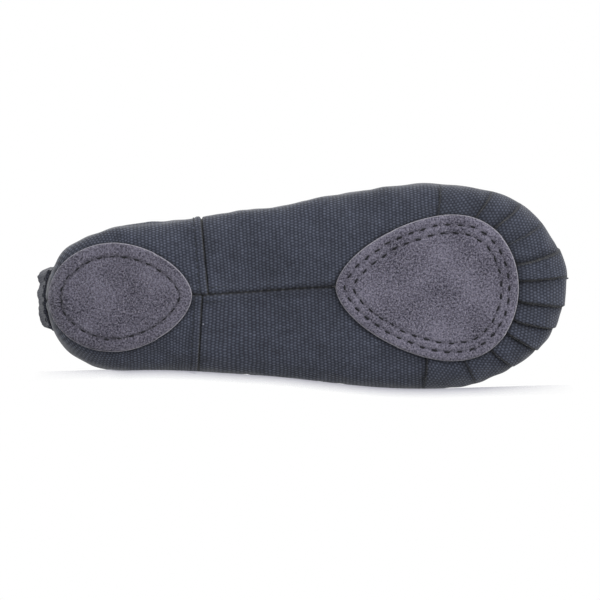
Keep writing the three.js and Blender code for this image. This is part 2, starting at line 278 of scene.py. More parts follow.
print(COLUMNS, "columns round an outline of", round(2 * outline_at[-1]), "mm")


# %% One column
def cross_seam_slant(y, q):
    """The two halves of the seam across the sole are not sewn quite square."""
    return np.where(y < 0, 1.2 - 1.6 * q, -0.7 - 2.2 * q)


def ray(k, upper):
    """One column of one half: points close together, outline first."""
    u = np.linspace(0, 1, 700) ** 2
    share = np.maximum(np.cos(u * math.pi / 2) ** (2 / (2.3 if upper else 3)), 1e-3)
    d, y = column_d[k], column_y[k]
    front = TOP_CENTRE if upper else BALL
    inner = min(max(d, HEEL_ROUND), front)
    x, across = inner + (d - inner) * share, y * share
    q = np.clip(np.abs(across) / np.maximum(half_width(x), 1e-9), 0, 1)
    near = np.exp(-(((x - CROSS_SEAM) / 13) ** 2))
    moved = x + cross_seam_slant(y, q) * near
    scale = half_width(moved) / np.maximum(half_width(x), 1e-9)
    across = across * np.where(near > 1e-4, scale, 1)
    drift = -1.2 * eased(CROSS_SEAM, 93, x) * (1 - q) ** 2
    if upper:
        return settled(moved, across, height(moved, across, True))
    return settled(moved, across + drift, height(moved, across, False))


def evenly(points, rows):
    """The same line with its points evenly spaced, and its length."""
    run = np.r_[0, np.cumsum(np.linalg.norm(np.diff(points, axis=0), axis=1))]
    places = np.linspace(0, run[-1], rows + 1)
    return np.stack([np.interp(places, run, c) for c in points.T], -1), run[-1]


half_sole = evenly(ray(edges[4], False), 2)[1]
print("cloth from the middle of the sole to the widest line:", round(half_sole, 1), "mm")

# %% Table of points: columns by rows
ROWS = 160  # rows of the table in each half
table = np.zeros((COLUMNS, 2 * ROWS + 1, 3))
under_length, wall_length, over_length = np.zeros((3, COLUMNS))
for k in range(COLUMNS):
    below, under_length[k] = evenly(ray(k, False), ROWS)
    line = ray(k, True)
    over_length[k] = evenly(line, 2)[1]
    gap = np.interp(line[:, 0], *side_view.T) - line[:, 2]
    cut = int(np.argmax(gap < 0))
    t = gap[cut - 1] / (gap[cut - 1] - gap[cut])
    line = np.vstack([line[:cut], line[cut - 1] + t * (line[cut] - line[cut - 1])])
    above, wall_length[k] = evenly(line, ROWS)
    table[k, : ROWS + 1] = below[::-1]
    table[k, ROWS:] = above
print("walls from", round(wall_length.min(), 1), "to", round(wall_length.max(), 1), "mm")

# %% [markdown]
# Every layer of cloth is this table moved outwards or inwards. For that each point needs its
# outward direction, found from its neighbours along the column and along the row.

# %% Outward direction at each point
along = np.roll(table, -1, 0) - np.roll(table, 1, 0)
down = np.gradient(table, axis=1)
outward = np.cross(along, down)
facing = np.einsum("kri,kri->kr", outward, table - [90, 0, 20])
outward *= np.sign(facing.mean())
size = np.linalg.norm(outward, axis=2, keepdims=True)
outward = np.where(size > 1e-9, outward / np.maximum(size, 1e-9), 0)
flat_sole = (table[:, :, 2] < lowest(table[:, :, 0]) + 0.02) | (size[:, :, 0] < 1e-9)
outward[flat_sole] = [0, 0, -1]
print("outward under the sole:", outward[edges[1] + 10, 3], "on a wall:", outward[100, 200])


# %% Between the points of the table
def look_up(values, k, row):
    """A place or a direction of the table between its columns and rows."""
    k = np.asarray(k, float) % COLUMNS
    row = np.clip(row, 0, 2 * ROWS)
    k0, r0 = np.floor(k).astype(int), np.minimum(np.floor(row).astype(int), 2 * ROWS - 1)
    k1 = (k0 + 1) % COLUMNS
    kt, rt = (k - k0)[..., None], (row - r0)[..., None]
    near = values[k0, r0] * (1 - rt) + values[k0, r0 + 1] * rt
    far = values[k1, r0] * (1 - rt) + values[k1, r0 + 1] * rt
    return near * (1 - kt) + far * kt


def on_form(k, row, offset=0.0):
    """A point on the form, moved outwards by an offset in millimetres."""
    p, n = look_up(table, k, row), look_up(outward, k, row)
    n = n / np.maximum(np.linalg.norm(n, axis=-1, keepdims=True), 1e-9)
    return p + n * np.asarray(offset, float)[..., None]


def per_column(values, k):
    """A value of the columns between two of them."""
    k = np.asarray(k, float) % COLUMNS
    return np.interp(k, np.arange(COLUMNS + 1), np.r_[values, values[0]])


def row_at(k, mm):
    """Row of the place so many mm above the widest line (below it where negative)."""
    k, mm = np.broadcast_arrays(np.asarray(k, float), np.asarray(mm, float))
    length = np.where(mm < 0, per_column(under_length, k), per_column(wall_length, k))
    return ROWS + ROWS * mm / length


def row_under_edge(k, depth):
    """Row of the place so many mm under the topline."""
    return row_at(k, per_column(wall_length, k) - depth)


print("a place on the throat:", np.round(on_form(edges[-1], 2 * ROWS), 1))

# %% [markdown]
# ## Colours and nodes
#
# Colours are picked as hex values, as on a shade card, and one function turns them into the
# linear light that the renderer works in. One small function adds a node with its settings
# and links.

# %% Node helper
def linear(shade):
    parts = [int(shade[i : i + 2], 16) / 255 for i in (1, 3, 5)]
    lit = [p / 12.92 if p <= 0.04045 else ((p + 0.055) / 1.055) ** 2.4 for p in parts]
    return (*lit, 1.0)


def add(tree, kind, inputs=None, **settings):
    node = tree.nodes.new("ShaderNode" + kind)
    for name, value in settings.items():
        setattr(node, name, value)
    for name, value in (inputs or {}).items():
        if isinstance(value, bpy.types.NodeSocket):
            tree.links.new(value, node.inputs[name])
        else:
            node.inputs[name].default_value = value
    return node


def start_material(name):
    """A material with a Principled shader, and the cloth's own grain in millimetres."""
    material = bpy.data.materials.new(name)
    material.use_nodes = True
    tree = material.node_tree
    tree.nodes.clear()
    shader = add(tree, "BsdfPrincipled")
    add(tree, "OutputMaterial", {"Surface": shader.outputs[0]})
    grain = add(tree, "UVMap", uv_map="grain")
    return material, tree, shader, grain.outputs[0]


def settings(shader, **values):
    for name, value in values.items():
        shader.inputs[name.replace("_", " ")].default_value = value


def noise(tree, where, millimetres, detail=2.0):
    """Soft noise whose lumps are about so many millimetres across, from 0 to 1."""
    found = add(tree, "TexNoise", {"Vector": where, "Scale": 1 / millimetres, "Detail": detail})
    return found.outputs["Fac"]


def calculate(tree, operation, a, b=0.0, c=0.0):
    inputs = {0: a, 1: b, 2: c}
    return add(tree, "Math", inputs, operation=operation).outputs[0]


def between(tree, share, shade_a, shade_b):
    """A colour between two, as a socket."""
    inputs = {0: share, 6: shade_a, 7: shade_b}
    return add(tree, "Mix", inputs, data_type="RGBA").outputs[2]


def spread(tree, value, low, high, to_low=0.0, to_high=1.0):
    inputs = {0: value, 1: low, 2: high, 3: to_low, 4: to_high}
    return add(tree, "MapRange", inputs, clamp=True).outputs[0]


print("the darkest canvas in linear light:", np.round(linear("#23252f"), 3))

# %% [markdown]
# ## Canvas and the other woven cloths
#
# Shoe canvas is a plain weave of dyed cotton: each yarn passes over one and under the next.
# The thick yarns stand in lines about 1.2 mm apart, and the thin ones cross them every half
# millimetre, so the eye sees lines of small soft dots, staggered from line to line. A product
# of two waves staggers the dots and a third wave darkens the gaps between the lines. A little
# noise bends the yarns, fades the dye and adds a few specks of lint, because cotton is fuzzy
# and catches it. Where cloth is folded into a crease or a seam, or meets the edge of the suede,
# it sees less light, and that shade is painted into its colour: each point of the canvas
# carries a painted shade. There is no gloss, only a faint sheen from the fuzz.

# %% Woven cloth
def with_painted_shade(tree, colour):
    """A colour darkened by the painted shade that the points of the piece carry."""
    shade = add(tree, "Attribute", attribute_name="shade").outputs["Fac"]
    return add(tree, "VectorMath", {0: colour, 3: shade}, operation="SCALE").outputs[0]


def woven(name, yarn, gap, pitch, thickness, lint=0.0):
    """Cloth from the colours of yarn and gap, the pitch of both yarns and the yarn's height."""
    material, tree, shader, grain = start_material(name)
    bent = add(tree, "TexNoise", {"Vector": grain, "Scale": 1 / 4.0, "Detail": 2.0})
    offset = add(
        tree, "VectorMath", {0: bent.outputs["Color"], 1: (0.5, 0.5, 0.5)}, operation="SUBTRACT"
    ).outputs[0]
    inputs = {0: offset, 1: (0.9, 0.5, 0), 2: grain}
    where = add(tree, "VectorMath", inputs, operation="MULTIPLY_ADD").outputs[0]
    split = add(tree, "SeparateXYZ", {0: where})
    waves = [
        calculate(tree, "COSINE", calculate(tree, "MULTIPLY", axis, math.pi / size))
        for axis, size in zip(split.outputs[:2], pitch)
    ]
    staggered = calculate(tree, "MULTIPLY", *waves)
    lines = calculate(tree, "MULTIPLY", waves[0], waves[0])
    weave = calculate(tree, "MULTIPLY_ADD", lines, 1.1, staggered)
    dots = spread(tree, weave, -0.3, 2.2)
    uneven = noise(tree, grain, 1.6, 3.0)
    dots = calculate(tree, "MULTIPLY", dots, spread(tree, uneven, 0.3, 0.65, 0.45, 1.0))
    colour = between(tree, dots, linear(gap), linear(yarn))
    faded = calculate(tree, "ADD", noise(tree, grain, 30), noise(tree, grain, 5))
    tone = spread(tree, faded, 0.75, 1.25, 0.84, 1.16)
    scaled = add(tree, "VectorMath", {0: colour, 3: tone}, operation="SCALE").outputs[0]
    if lint:
        cells = add(tree, "TexVoronoi", {"Vector": grain, "Scale": 1 / 9, "Randomness": 1.0})
        speck = spread(tree, cells.outputs["Distance"], 0.02, 0.045, 1.0, 0.0)
        chosen = add(tree, "SeparateColor", {0: cells.outputs["Color"]}).outputs[0]
        shown = calculate(tree, "GREATER_THAN", chosen, 1 - lint)
        fleck = calculate(tree, "MULTIPLY", speck, shown)
        scaled = between(tree, fleck, with_painted_shade(tree, scaled), linear("#8d909c"))
    tree.links.new(scaled, shader.inputs["Base Color"])
    fuzz = noise(tree, grain, 0.5, 2.0)
    raised = calculate(tree, "MULTIPLY_ADD", fuzz, 0.35, dots)
    bump = add(tree, "Bump", {"Height": raised, "Distance": thickness * MM, "Strength": 0.8})
    tree.links.new(bump.outputs[0], shader.inputs["Normal"])
    settings(shader, Roughness=0.92, Sheen_Weight=0.2, Sheen_Roughness=0.5, IOR=1.5)
    settings(shader, Specular_IOR_Level=0.25)
    return material


CANVAS = woven("dyed cotton canvas", "#585e6e", "#23252f", (1.17, 0.48), 0.25, lint=0.35)
LINING = woven("thin cotton lining", "#6b6d76", "#4b4d55", (0.6, 0.5), 0.1)
BINDING = woven("bias-cut canvas binding", "#565964", "#2b2d36", (0.62, 0.47), 0.2)
TAPE = woven("cotton seam tape", "#4b4e58", "#2f3139", (0.5, 0.9), 0.15)
PAD_COVER = woven("cotton pad cover", "#73747d", "#52545c", (0.7, 0.6), 0.12)
print("woven:", [m.name for m in (CANVAS, LINING, BINDING, TAPE, PAD_COVER)])

# %% [markdown]
# ## Suede
#
# Suede is the flesh side of leather, sanded to a short nap. It has no gloss at all. The nap
# lies this way and that, so the eye sees a close mottle about a millimetre across, with pale
# tips of fibre, broader paler and darker patches where it has been stroked, a few dark marks,
# and a paler fuzzy line where the skin was cut.


# %% Suede and its cut edge
def suede(name, pale, dark, speckle, carries_painted_shade=False):
    material, tree, shader, grain = start_material(name)
    nap = noise(tree, grain, 0.7, 2.0)
    fine = noise(tree, grain, 0.45, 2.0)
    broad = noise(tree, grain, 12, 3.0)
    mottle = calculate(tree, "ADD", spread(tree, nap, 0.38, 0.62), spread(tree, fine, 0.38, 0.62))
    mottle = calculate(tree, "MULTIPLY_ADD", mottle, 0.5 * speckle, 0.5 - 0.5 * speckle)
    stroked = spread(tree, broad, 0.3, 0.7, -0.2, 0.2)
    colour = between(
        tree, calculate(tree, "ADD", mottle, stroked), linear(dark), linear(pale)
    )
    cells = add(tree, "TexVoronoi", {"Vector": grain, "Scale": 1 / 11, "Randomness": 1.0})
    wavy = calculate(tree, "MULTIPLY_ADD", fine, 0.08, cells.outputs["Distance"])
    mark = spread(tree, wavy, 0.05, 0.15, 0.55, 0.0)
    chosen = add(tree, "SeparateColor", {0: cells.outputs["Color"]}).outputs[0]
    shown = calculate(tree, "GREATER_THAN", chosen, 0.8)
    colour = between(tree, calculate(tree, "MULTIPLY", mark, shown), colour, linear("#24222b"))
    tips = spread(tree, noise(tree, grain, 0.5, 0.0), 0.66, 0.76, 0.0, 0.6 * speckle)
    colour = between(tree, tips, colour, linear("#95929d"))
    # The napped suede takes the painted shade of its stitch grooves.
    if carries_painted_shade:
        colour = with_painted_shade(tree, colour)
    tree.links.new(colour, shader.inputs["Base Color"])
    rough = calculate(tree, "ADD", nap, fine)
    bump = add(tree, "Bump", {"Height": rough, "Distance": 0.35 * MM, "Strength": 0.7})
    tree.links.new(bump.outputs[0], shader.inputs["Normal"])
    settings(shader, Roughness=0.97, Sheen_Weight=0.2, Sheen_Roughness=0.6, IOR=1.5)
    settings(shader, Specular_IOR_Level=0.15)
    return material


SUEDE = suede("split suede, napped", "#787585", "#211f2c", 1.0, carries_painted_shade=True)
SUEDE_EDGE = suede("cut edge of suede", "#98969f", "#5c5a66", 0.8)
print("suede:", SUEDE.name, "and", SUEDE_EDGE.name)

# %% [markdown]
# ## Thread and elastic
#
# The sole is sewn with thick polyester thread, almost black, with a slight shine from its
# twist. Knitted elastic shows fine ribs along its length, crossed by the rubber cores.

# %% Thread and elastic
def ribbed(name, ridge, groove, pitch, slant, roughness, depth):
    """Fine ribs along a thread or a band, or slanting across it as twist does."""
    material, tree, shader, grain = start_material(name)
    split = add(tree, "SeparateXYZ", {0: grain})
    turned = calculate(tree, "MULTIPLY_ADD", split.outputs[0], slant, split.outputs[1])
    wave = calculate(tree, "COSINE", calculate(tree, "MULTIPLY", turned, 2 * math.pi / pitch))
    fuzz = noise(tree, grain, pitch * 0.8, 2.0)
    ridges = calculate(tree, "MULTIPLY_ADD", fuzz, 0.5, spread(tree, wave, -1.0, 1.0, 0.0, 0.7))
    colour = between(tree, ridges, linear(groove), linear(ridge))
    tree.links.new(colour, shader.inputs["Base Color"])
    bump = add(tree, "Bump", {"Height": ridges, "Distance": depth * MM, "Strength": 0.8})
    tree.links.new(bump.outputs[0], shader.inputs["Normal"])
    settings(shader, Roughness=roughness, IOR=1.5, Specular_IOR_Level=0.3)
    return material


THREAD = ribbed("twisted polyester thread", "#1b1c22", "#090a0d", 0.5, 1.0, 0.7, 0.08)
SEAM_THREAD = ribbed("fine cotton thread", "#3d4048", "#22242a", 0.3, 1.0, 0.8, 0.04)
ELASTIC = ribbed("knitted elastic", "#33353c", "#17181c", 0.9, 0.0, 0.8, 0.2)
print("materials in all:", len(bpy.data.materials))

# %% [markdown]
# ## From layers to a piece
#
# Each piece of cloth is two layers of points, its outside and its inside, joined round the
# edges into one thin closed body. Its grain, the direction of its yarns, is kept in a UV map
# measured in millimetres, so the weave keeps its real size and moves with the cloth.

# %% Build a piece
def build(name, points, quads, grain, finishes, which=None, sharp=50, shade=None):
    """A mesh object from millimetre points and four-cornered faces with grain at corners."""
    mesh = bpy.data.meshes.new(name)
    mesh.vertices.add(len(points))
    mesh.vertices.foreach_set("co", in_frame(points).ravel())
    mesh.loops.add(quads.size)
    mesh.loops.foreach_set("vertex_index", quads.ravel().astype(np.int32))
    mesh.polygons.add(len(quads))
    mesh.polygons.foreach_set("loop_start", np.arange(0, quads.size, 4, dtype=np.int32))
    layer = mesh.uv_layers.new(name="grain")
    layer.data.foreach_set("uv", np.asarray(grain, np.float32).reshape(-1))
    for finish in finishes:
        mesh.materials.append(finish)
    if which is not None:
        mesh.polygons.foreach_set("material_index", np.asarray(which, np.int32))
    # A piece may carry painted shade at its points, for its creases, seams and stitch grooves.
    if shade is not None:
        kept = mesh.attributes.new("shade", "FLOAT", "POINT")
        kept.data.foreach_set("value", np.asarray(shade, np.float32).ravel())
    mesh.update(calc_edges=True)
    mesh.shade_smooth()
    mesh.set_sharp_from_angle(angle=math.radians(sharp))
    piece = bpy.data.objects.new(name, mesh)
    bpy.context.scene.collection.objects.link(piece)
    return piece


print("a mesh is filled from whole arrays at once, which is quick for so many points")


# %% From layers to a closed body
def strips(first, second):
    """Faces that join two rows of point numbers."""
    return np.stack([first[:-1], first[1:], second[1:], second[:-1]], -1)


def squares(number):
    """Faces between the columns and rows of a grid of point numbers."""
    corners = [number[:-1, :-1], number[1:, :-1], number[1:, 1:], number[:-1, 1:]]
    return np.stack(corners, -1).reshape(-1, 4)


def layered(name, outer, inner, grain, finishes, sharp=50, shade=None):
    """A closed body between two layers [columns, rows] of points. A second finish is its rim."""
    columns, rows = outer.shape[:2]
    number = np.arange(columns * rows).reshape(columns, rows)
    top = squares(number)
    points = np.vstack([outer.reshape(-1, 3), inner.reshape(-1, 3)])
    mid = top[len(top) // 2 + rows // 2]
    facing = np.cross(points[mid[1]] - points[mid[0]], points[mid[3]] - points[mid[0]])
    if facing @ (points[mid[0]] - points[mid[0] + columns * rows]) < 0:
        top = top[:, ::-1]
    border = np.r_[number[:, 0], number[-1, 1:], number[-2::-1, -1], number[0, -2::-1]]
    rim = strips(border, border + columns * rows)
    corner = list(top[(top == border[0]).any(1)][0])
    if corner[(corner.index(border[0]) + 1) % 4] == border[1]:
        rim = rim[:, ::-1]
    quads = np.vstack([top, top[:, ::-1] + columns * rows, rim])
    flat = np.vstack([grain.reshape(-1, 2)] * 2)
    which = np.r_[np.zeros(2 * len(top)), np.full(len(rim), len(finishes) - 1)]
    if shade is not None:
        shade = np.r_[shade.ravel(), shade.ravel()]
    return build(name, points, quads, flat[quads], finishes, which, sharp, shade)


def soft_noise(points, wavelength, seed):
    """Smooth, repeatable unevenness of cloth, from about -1 to 1."""
    pick = np.random.default_rng(seed)
    total = 0
    for _ in range(7):
        direction = pick.normal(size=3)
        direction *= 2 * math.pi / wavelength / np.linalg.norm(direction)
        direction *= pick.uniform(0.7, 1.4)
        total = total + np.sin(points @ direction + pick.uniform(0, 2 * math.pi))
    return total / 3.0


def unit(v):
    return v / np.linalg.norm(v, axis=-1, keepdims=True)


def square_to(out, way):
    """Directions out, made square to the ways along, one long."""
    return unit(out - way * (out * way).sum(1, keepdims=True))


print("a strip of 3 points joins with", len(strips(np.arange(3), np.arange(3, 6))), "faces")

# %% [markdown]
# ## Outlines of the two sole patches
#
# The heel patch is an egg and the forefoot patch a drop, pointed towards the heel. Each is a
# lobe: a width that tapers away to both ends.

# %% Patch outlines
def lobe(length, width, widest_at, rear, front, start, turn=0.0):
    """An outline from its sizes, its (taper, fullness) to both ends, and its place."""
    share = (1 - np.cos(np.linspace(0, math.pi, 181))) / 2
    behind = share < widest_at
    to_end = np.where(behind, (widest_at - share) / widest_at, 0)
    to_end = np.where(behind, to_end, (share - widest_at) / (1 - widest_at))
    taper, fullness = np.where(behind[:, None], rear, front).T
    across = width / 2 * (1 - to_end**taper) ** fullness
    upper = np.stack([length * share, across], -1)
    ring = np.vstack([upper, (upper * [1, -1])[-2:0:-1]])
    middle = np.array([length / 2, 0])
    c, s = math.cos(turn), math.sin(turn)
    return (ring - middle) @ np.array([[c, s], [-s, c]]) + middle + [start, 0]


def resampled(ring, count):
    """The same outline with its points evenly spaced."""
    closed = np.vstack([ring, ring[:1]])
    run = np.r_[0, np.cumsum(np.linalg.norm(np.diff(closed, axis=0), axis=1))]
    places = np.linspace(0, run[-1], count, endpoint=False)
    return np.stack([np.interp(places, run, c) for c in closed.T], -1)


HEEL_OUTLINE = resampled(lobe(45.5, 34.4, 0.45, (2, 0.5), (1.8, 0.58), 1.4), 300)
FOREFOOT_OUTLINE = resampled(
    lobe(58.6, 46.6, 0.62, (1.6, 0.6), (2.4, 0.5), 93.0, math.radians(2)), 380
)
print("forefoot patch from", np.round(FOREFOOT_OUTLINE.min(0), 1), "mm")


# %% Distance from an outline
def outside(places, ring):
    """Distance outside an outline, negative inside it."""
    shape = places.shape[:-1]
    flat = places.reshape(-1, 2)
    a, b = ring, np.roll(ring, -1, 0)
    found = np.empty(len(flat))
    for i in range(0, len(flat), 20000):
        p = flat[i : i + 20000, None]
        t = np.clip(((p - a) * (b - a)).sum(-1) / ((b - a) ** 2).sum(-1), 0, 1)
        near = np.linalg.norm(p - a - t[..., None] * (b - a), axis=-1).min(1)
        rises = (a[:, 1] > p[..., 1]) != (b[:, 1] > p[..., 1])
        step = np.where(np.abs(b[:, 1] - a[:, 1]) < 1e-9, 1e-9, b[:, 1] - a[:, 1])
        crossing = a[:, 0] + (p[..., 1] - a[:, 1]) * (b[:, 0] - a[:, 0]) / step
        inside = (rises & (p[..., 0] < crossing)).sum(1) % 2 == 1
        found[i : i + 20000] = np.where(inside, -near, near)
    return found.reshape(shape)


within = -outside(np.array([[BALL, 0.0]]), FOREFOOT_OUTLINE)[0]
print("the ball is", round(within, 1), "mm inside the suede")

# %% [markdown]
# ## Relief of the canvas
#
# What makes the canvas look sewn is its relief. At the toe the flat cloth has more edge than
# the rounded sole can take, so the maker folds it into pleats that fan out from under the
# suede and lie over one another away from the tip. Each pleat rises slowly to a fold and
# drops into a crease. At a seam both edges roll inwards and the hidden allowance lifts the
# cloth beside it. Elsewhere the cloth is a little wrinkled. The same relief moves both faces
# of the canvas, so that it keeps its thickness.

# %% Pleats
# Each pleat: millimetres round the toe from its tip, at the suede and at the side, and its
# height, again at the suede and at the side.
PLEATS = [
    (-54.7, -56.9, 0.5, 0.0), (-38.9, -39.6, 0.7, 0.0), (-29.5, -29.4, 0.8, 0.05),
    (-19.5, -20.5, 0.4, 0.0), (-8.3, -10.4, 0.9, 0.35), (-0.3, -1.0, 0.8, 0.15),
    (8.7, 7.8, 0.9, 0.45), (17.4, 14.9, 0.9, 0.5), (24.1, 24.6, 1.0, 0.2),
    (34.7, 33.3, 0.7, 0.05), (46.0, 47.0, 0.4, 0.0), (61.5, 64.7, 0.6, 0.1),
]  # fmt: skip


def from_widest(k, row):
    """Millimetres above the widest line, below it where negative."""
    share = row / ROWS - 1
    return share * np.where(share < 0, under_length[k], wall_length[k])


def hump(x, width):
    return np.exp(-((x / width) ** 2))


def pleated(k, row, past_suede):
    """Height of the pleats, and the shade painted into their creases and beside them."""
    s = from_widest(k, row)
    radius = np.clip(1 + s / under_length[k], 0.05, 1)
    total, shade = np.zeros_like(s), np.ones_like(s)
    ridge_fade = eased(-0.3, 3.5, past_suede) * (1 - eased(0.5, 9, s))
    crease_fade = eased(-1.5, 0.3, past_suede) * (1 - eased(-2.0, 5, s))
    for at_suede, at_side, tall, tall_at_side in PLEATS:
        line = np.interp(s, [-17, 0], [at_suede, at_side])
        tall = np.interp(s, [-9, -1], [tall, 0.8 * tall_at_side])
        away = -1 if at_side < -4 else 1
        t = (to_toe[k] - line) * away * radius
        before = tall * np.exp(np.minimum(t, 0) / 3.0) * (1 - eased(-0.3, 0.6, t))
        crease = -0.8 * tall * np.exp(-(np.maximum(t - 0.5, 0) / 0.8)) * eased(-0.2, 0.5, t)
        total = total + before * ridge_fade + crease * crease_fade
        # Painted shade: dark in each crease, and a lighter painted shade on the cloth just past
        # it.
        dark = np.minimum(1.0, 0.25 + tall) * hump(t - 0.2, 0.6) * crease_fade
        shade = shade * (1 - 0.72 * dark) * (1 - 0.3 * tall * hump(t - 1.2, 1.6) * crease_fade)
    return total, shade


def panel_spin(k, s):
    """How far each panel of cloth between two pleats is turned, in radians."""
    lines = np.array(PLEATS)[:, :2]
    at = lines[:, 0] + (lines[:, 1] - lines[:, 0]) * np.clip(1 + s[..., None] / 17, 0, 1)
    panel = (to_toe[k][..., None] > at).sum(-1)
    middles = np.r_[-90, (lines[1:, 1] + lines[:-1, 1]) / 2, 90]
    quarter = np.abs(to_toe[edges[4]])
    turned = 0.5 * middles / quarter * math.pi / 2
    turned[[0, -1]] = 0
    return turned[panel]


print(len(PLEATS), "pleats, folded", sum(p[2] for p in PLEATS), "mm high in all")


# %% Relief of the whole canvas
def relief(k, row, points):
    """How far the outside of the canvas stands out from the form, and the shade painted on it."""
    s = from_widest(k, row)
    plan = points[..., :2]
    over_sole = row < ROWS
    past_front = np.where(over_sole, 1, 40.0)
    past_heel = past_front.copy()
    past_front[over_sole] = outside(plan[over_sole], FOREFOOT_OUTLINE)
    past_heel[over_sole] = outside(plan[over_sole], HEEL_OUTLINE)
    open_cloth = eased(0, 5, np.minimum(past_front, past_heel))
    wrinkles = 0.32 * soft_noise(points, 17, 3) + 0.14 * soft_noise(points, 7, 5)
    near_edge = eased(2, 9, per_column(wall_length, k) - s)
    total = wrinkles * open_cloth * (0.4 + 0.6 * near_edge)
    pleats, shade = pleated(k, row, past_front)
    total = total + pleats
    from_middle = s + under_length[k]
    straight = (np.abs(to_toe[k]) > np.abs(to_toe[edges[4]])) & (column_d[k] > HEEL_ROUND)
    bulky = 0.15 + 0.35 * (1 - eased(58, 72, points[..., 0]))
    middle_seam = -0.65 * hump(from_middle, 0.5) + bulky * hump(from_middle - 1.7, 1.3)
    clear = eased(-4, 0, np.minimum(past_front, past_heel))
    total = total + middle_seam * straight * clear
    # Painted shade in the groove of the middle seam.
    shade = shade * (1 - 0.7 * hump(from_middle, 0.4) * straight * clear)
    m = column_d[k] - CROSS_SEAM
    sewn = -0.85 * hump(m, 0.3) + 0.45 * hump(m + 1.3, 1.1) + 0.1 * hump(m - 1.8, 1.4)
    total = total + sewn - 0.15 * hump(m + 2.5, 0.4)
    # Painted shade in the groove of the seam across the sole and in the small groove beside it.
    shade = shade * (1 - 0.75 * hump(m - 0.1, 0.42)) * (1 - 0.2 * hump(m + 2.5, 0.3))
    fold = hump(s + 3.0 - 0.12 * (column_d[k] - 30), 1.1) * hump(column_d[k] - 31, 11)
    total = total + 0.5 * fold * (column_side[k] < 0)
    to_heel_tip = np.abs(np.abs(to_toe[k]) - outline_at[-1])
    back_seam = -0.6 * hump(to_heel_tip, 0.45) + 0.3 * hump(to_heel_tip - 1.5, 1.1)
    total = total + back_seam * (past_heel > 0)
    # Painted shadow on the canvas along the edges of the suede patches.
    painted_edge_shadow = hump(np.minimum(past_front, past_heel) - 0.1, 0.7)
    shade = shade * (1 - 0.45 * painted_edge_shadow * over_sole)
    return np.clip(total, -0.9, 1.4), shade


in_crease = relief(np.array([edges[2]]), np.array([40.0]), table[edges[2], 40][None])
print("the seam across the sole sinks", round(-in_crease[0][0], 2), "mm")

# %% [markdown]
# The weave has to run as it does in the cut cloth: straight along the arch, round the back of
# the heel along the wall, turned a little in each panel between two pleats, and fanned over the
# top of the toe.

# %% Grain of the cloth
half = slice(0, COLUMNS // 2)
HEEL_RUN = np.interp(30, column_d[half], outline_at[-1] - np.abs(to_toe[half]))


def grain_of(k, row):
    """Yarn direction and place in millimetres: u along the slipper, v across it."""
    s = from_widest(k, row)
    run = s + under_length[k]
    d, side = column_d[k], column_side[k]
    round_heel = np.minimum(outline_at[-1] - np.abs(to_toe[k]) - HEEL_RUN + 30 - d, 0)
    u, v = d + round_heel * eased(-6, 2, s), run * side
    fan_d, fan_y = column_d[k] - BALL, column_y[k]
    turn = np.arctan2(fan_y, fan_d)
    spin = panel_spin(k, s)
    toe = (fan_d > 0) & (s <= 0)
    u = np.where(toe, BALL + run * np.cos(turn - spin), u)
    v = np.where(toe, run * np.sin(turn - spin), v)
    turn = np.arctan2(column_y[k], column_d[k] - TOP_CENTRE)
    left = over_length[k] - s
    top = (column_d[k] > TOP_CENTRE) & (s > 0)
    u = np.where(top, TOP_CENTRE + left * np.cos(turn), u)
    v = np.where(top, left * np.sin(turn), v)
    return np.stack([u, v], -1)


print("cloth round the first 30 mm of the heel:", round(HEEL_RUN, 1), "mm on each side")


# %% [markdown]
# ## Canvas upper
#
# The upper is two heel quarters and one vamp. The vamp wraps the forefoot and sends two
# wings back under the arch, where they meet in a seam along the middle of the sole. The
# quarters join it in a seam right across. The vamp is one piece of cloth, but here it is
# built in two: its rear part lies along the arch and its front part over the toes, and
# they meet edge to edge between the arch and the ball.

# %% Canvas pieces
CLOTH_TOP = 3.4  # cloth ends this far under the topline, inside the binding


def rows_of(k, lower, upper):
    """Row numbers from the middle of the sole up to the top edge of the cloth."""
    top = ROWS * (1 - CLOTH_TOP / wall_length[k])[:, None] * np.linspace(0, 1, upper + 1)[1:]
    below = np.broadcast_to(np.linspace(0, ROWS, lower + 1), (len(k), lower + 1))
    return np.hstack([below, ROWS + top])


def cloth(name, k, lower, upper, depth, thickness, finish, raised=True):
    """A layer of cloth over whole columns: depth is how far in it lies."""
    row = rows_of(k, lower, upper)
    kk = np.broadcast_to(k[:, None], row.shape)
    lift, shade = relief(kk, row, on_form(kk, row)) if raised else (np.zeros(row.shape), None)
    outer = on_form(kk, row, lift - depth)
    inner = on_form(kk, row, np.maximum(lift, 0) * 0.8 - depth - thickness)
    return layered(name, outer, inner, grain_of(kk, row), [finish], shade=shade)


LEFT_HEEL = np.arange(0, edges[2] + 1)
RIGHT_HEEL = np.arange(COLUMNS - edges[2], COLUMNS + 1) % COLUMNS
LEFT_ARCH = np.arange(edges[2], edges[3] + 1)
RIGHT_ARCH = np.arange(COLUMNS - edges[3], COLUMNS - edges[2] + 1)
FRONT = np.arange(edges[3], COLUMNS - edges[3] + 1)


def bend_arch(piece):
    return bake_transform(piece)


def bend_toes(piece):
    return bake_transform(piece)


def ride_heel(piece):
    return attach(piece, "heel")


print("the arch bends over", round(73.4 - CROSS_SEAM, 1), "mm, the ball over 26 mm")

# %% Sew up the upper
CANVAS_THICK = 1.0

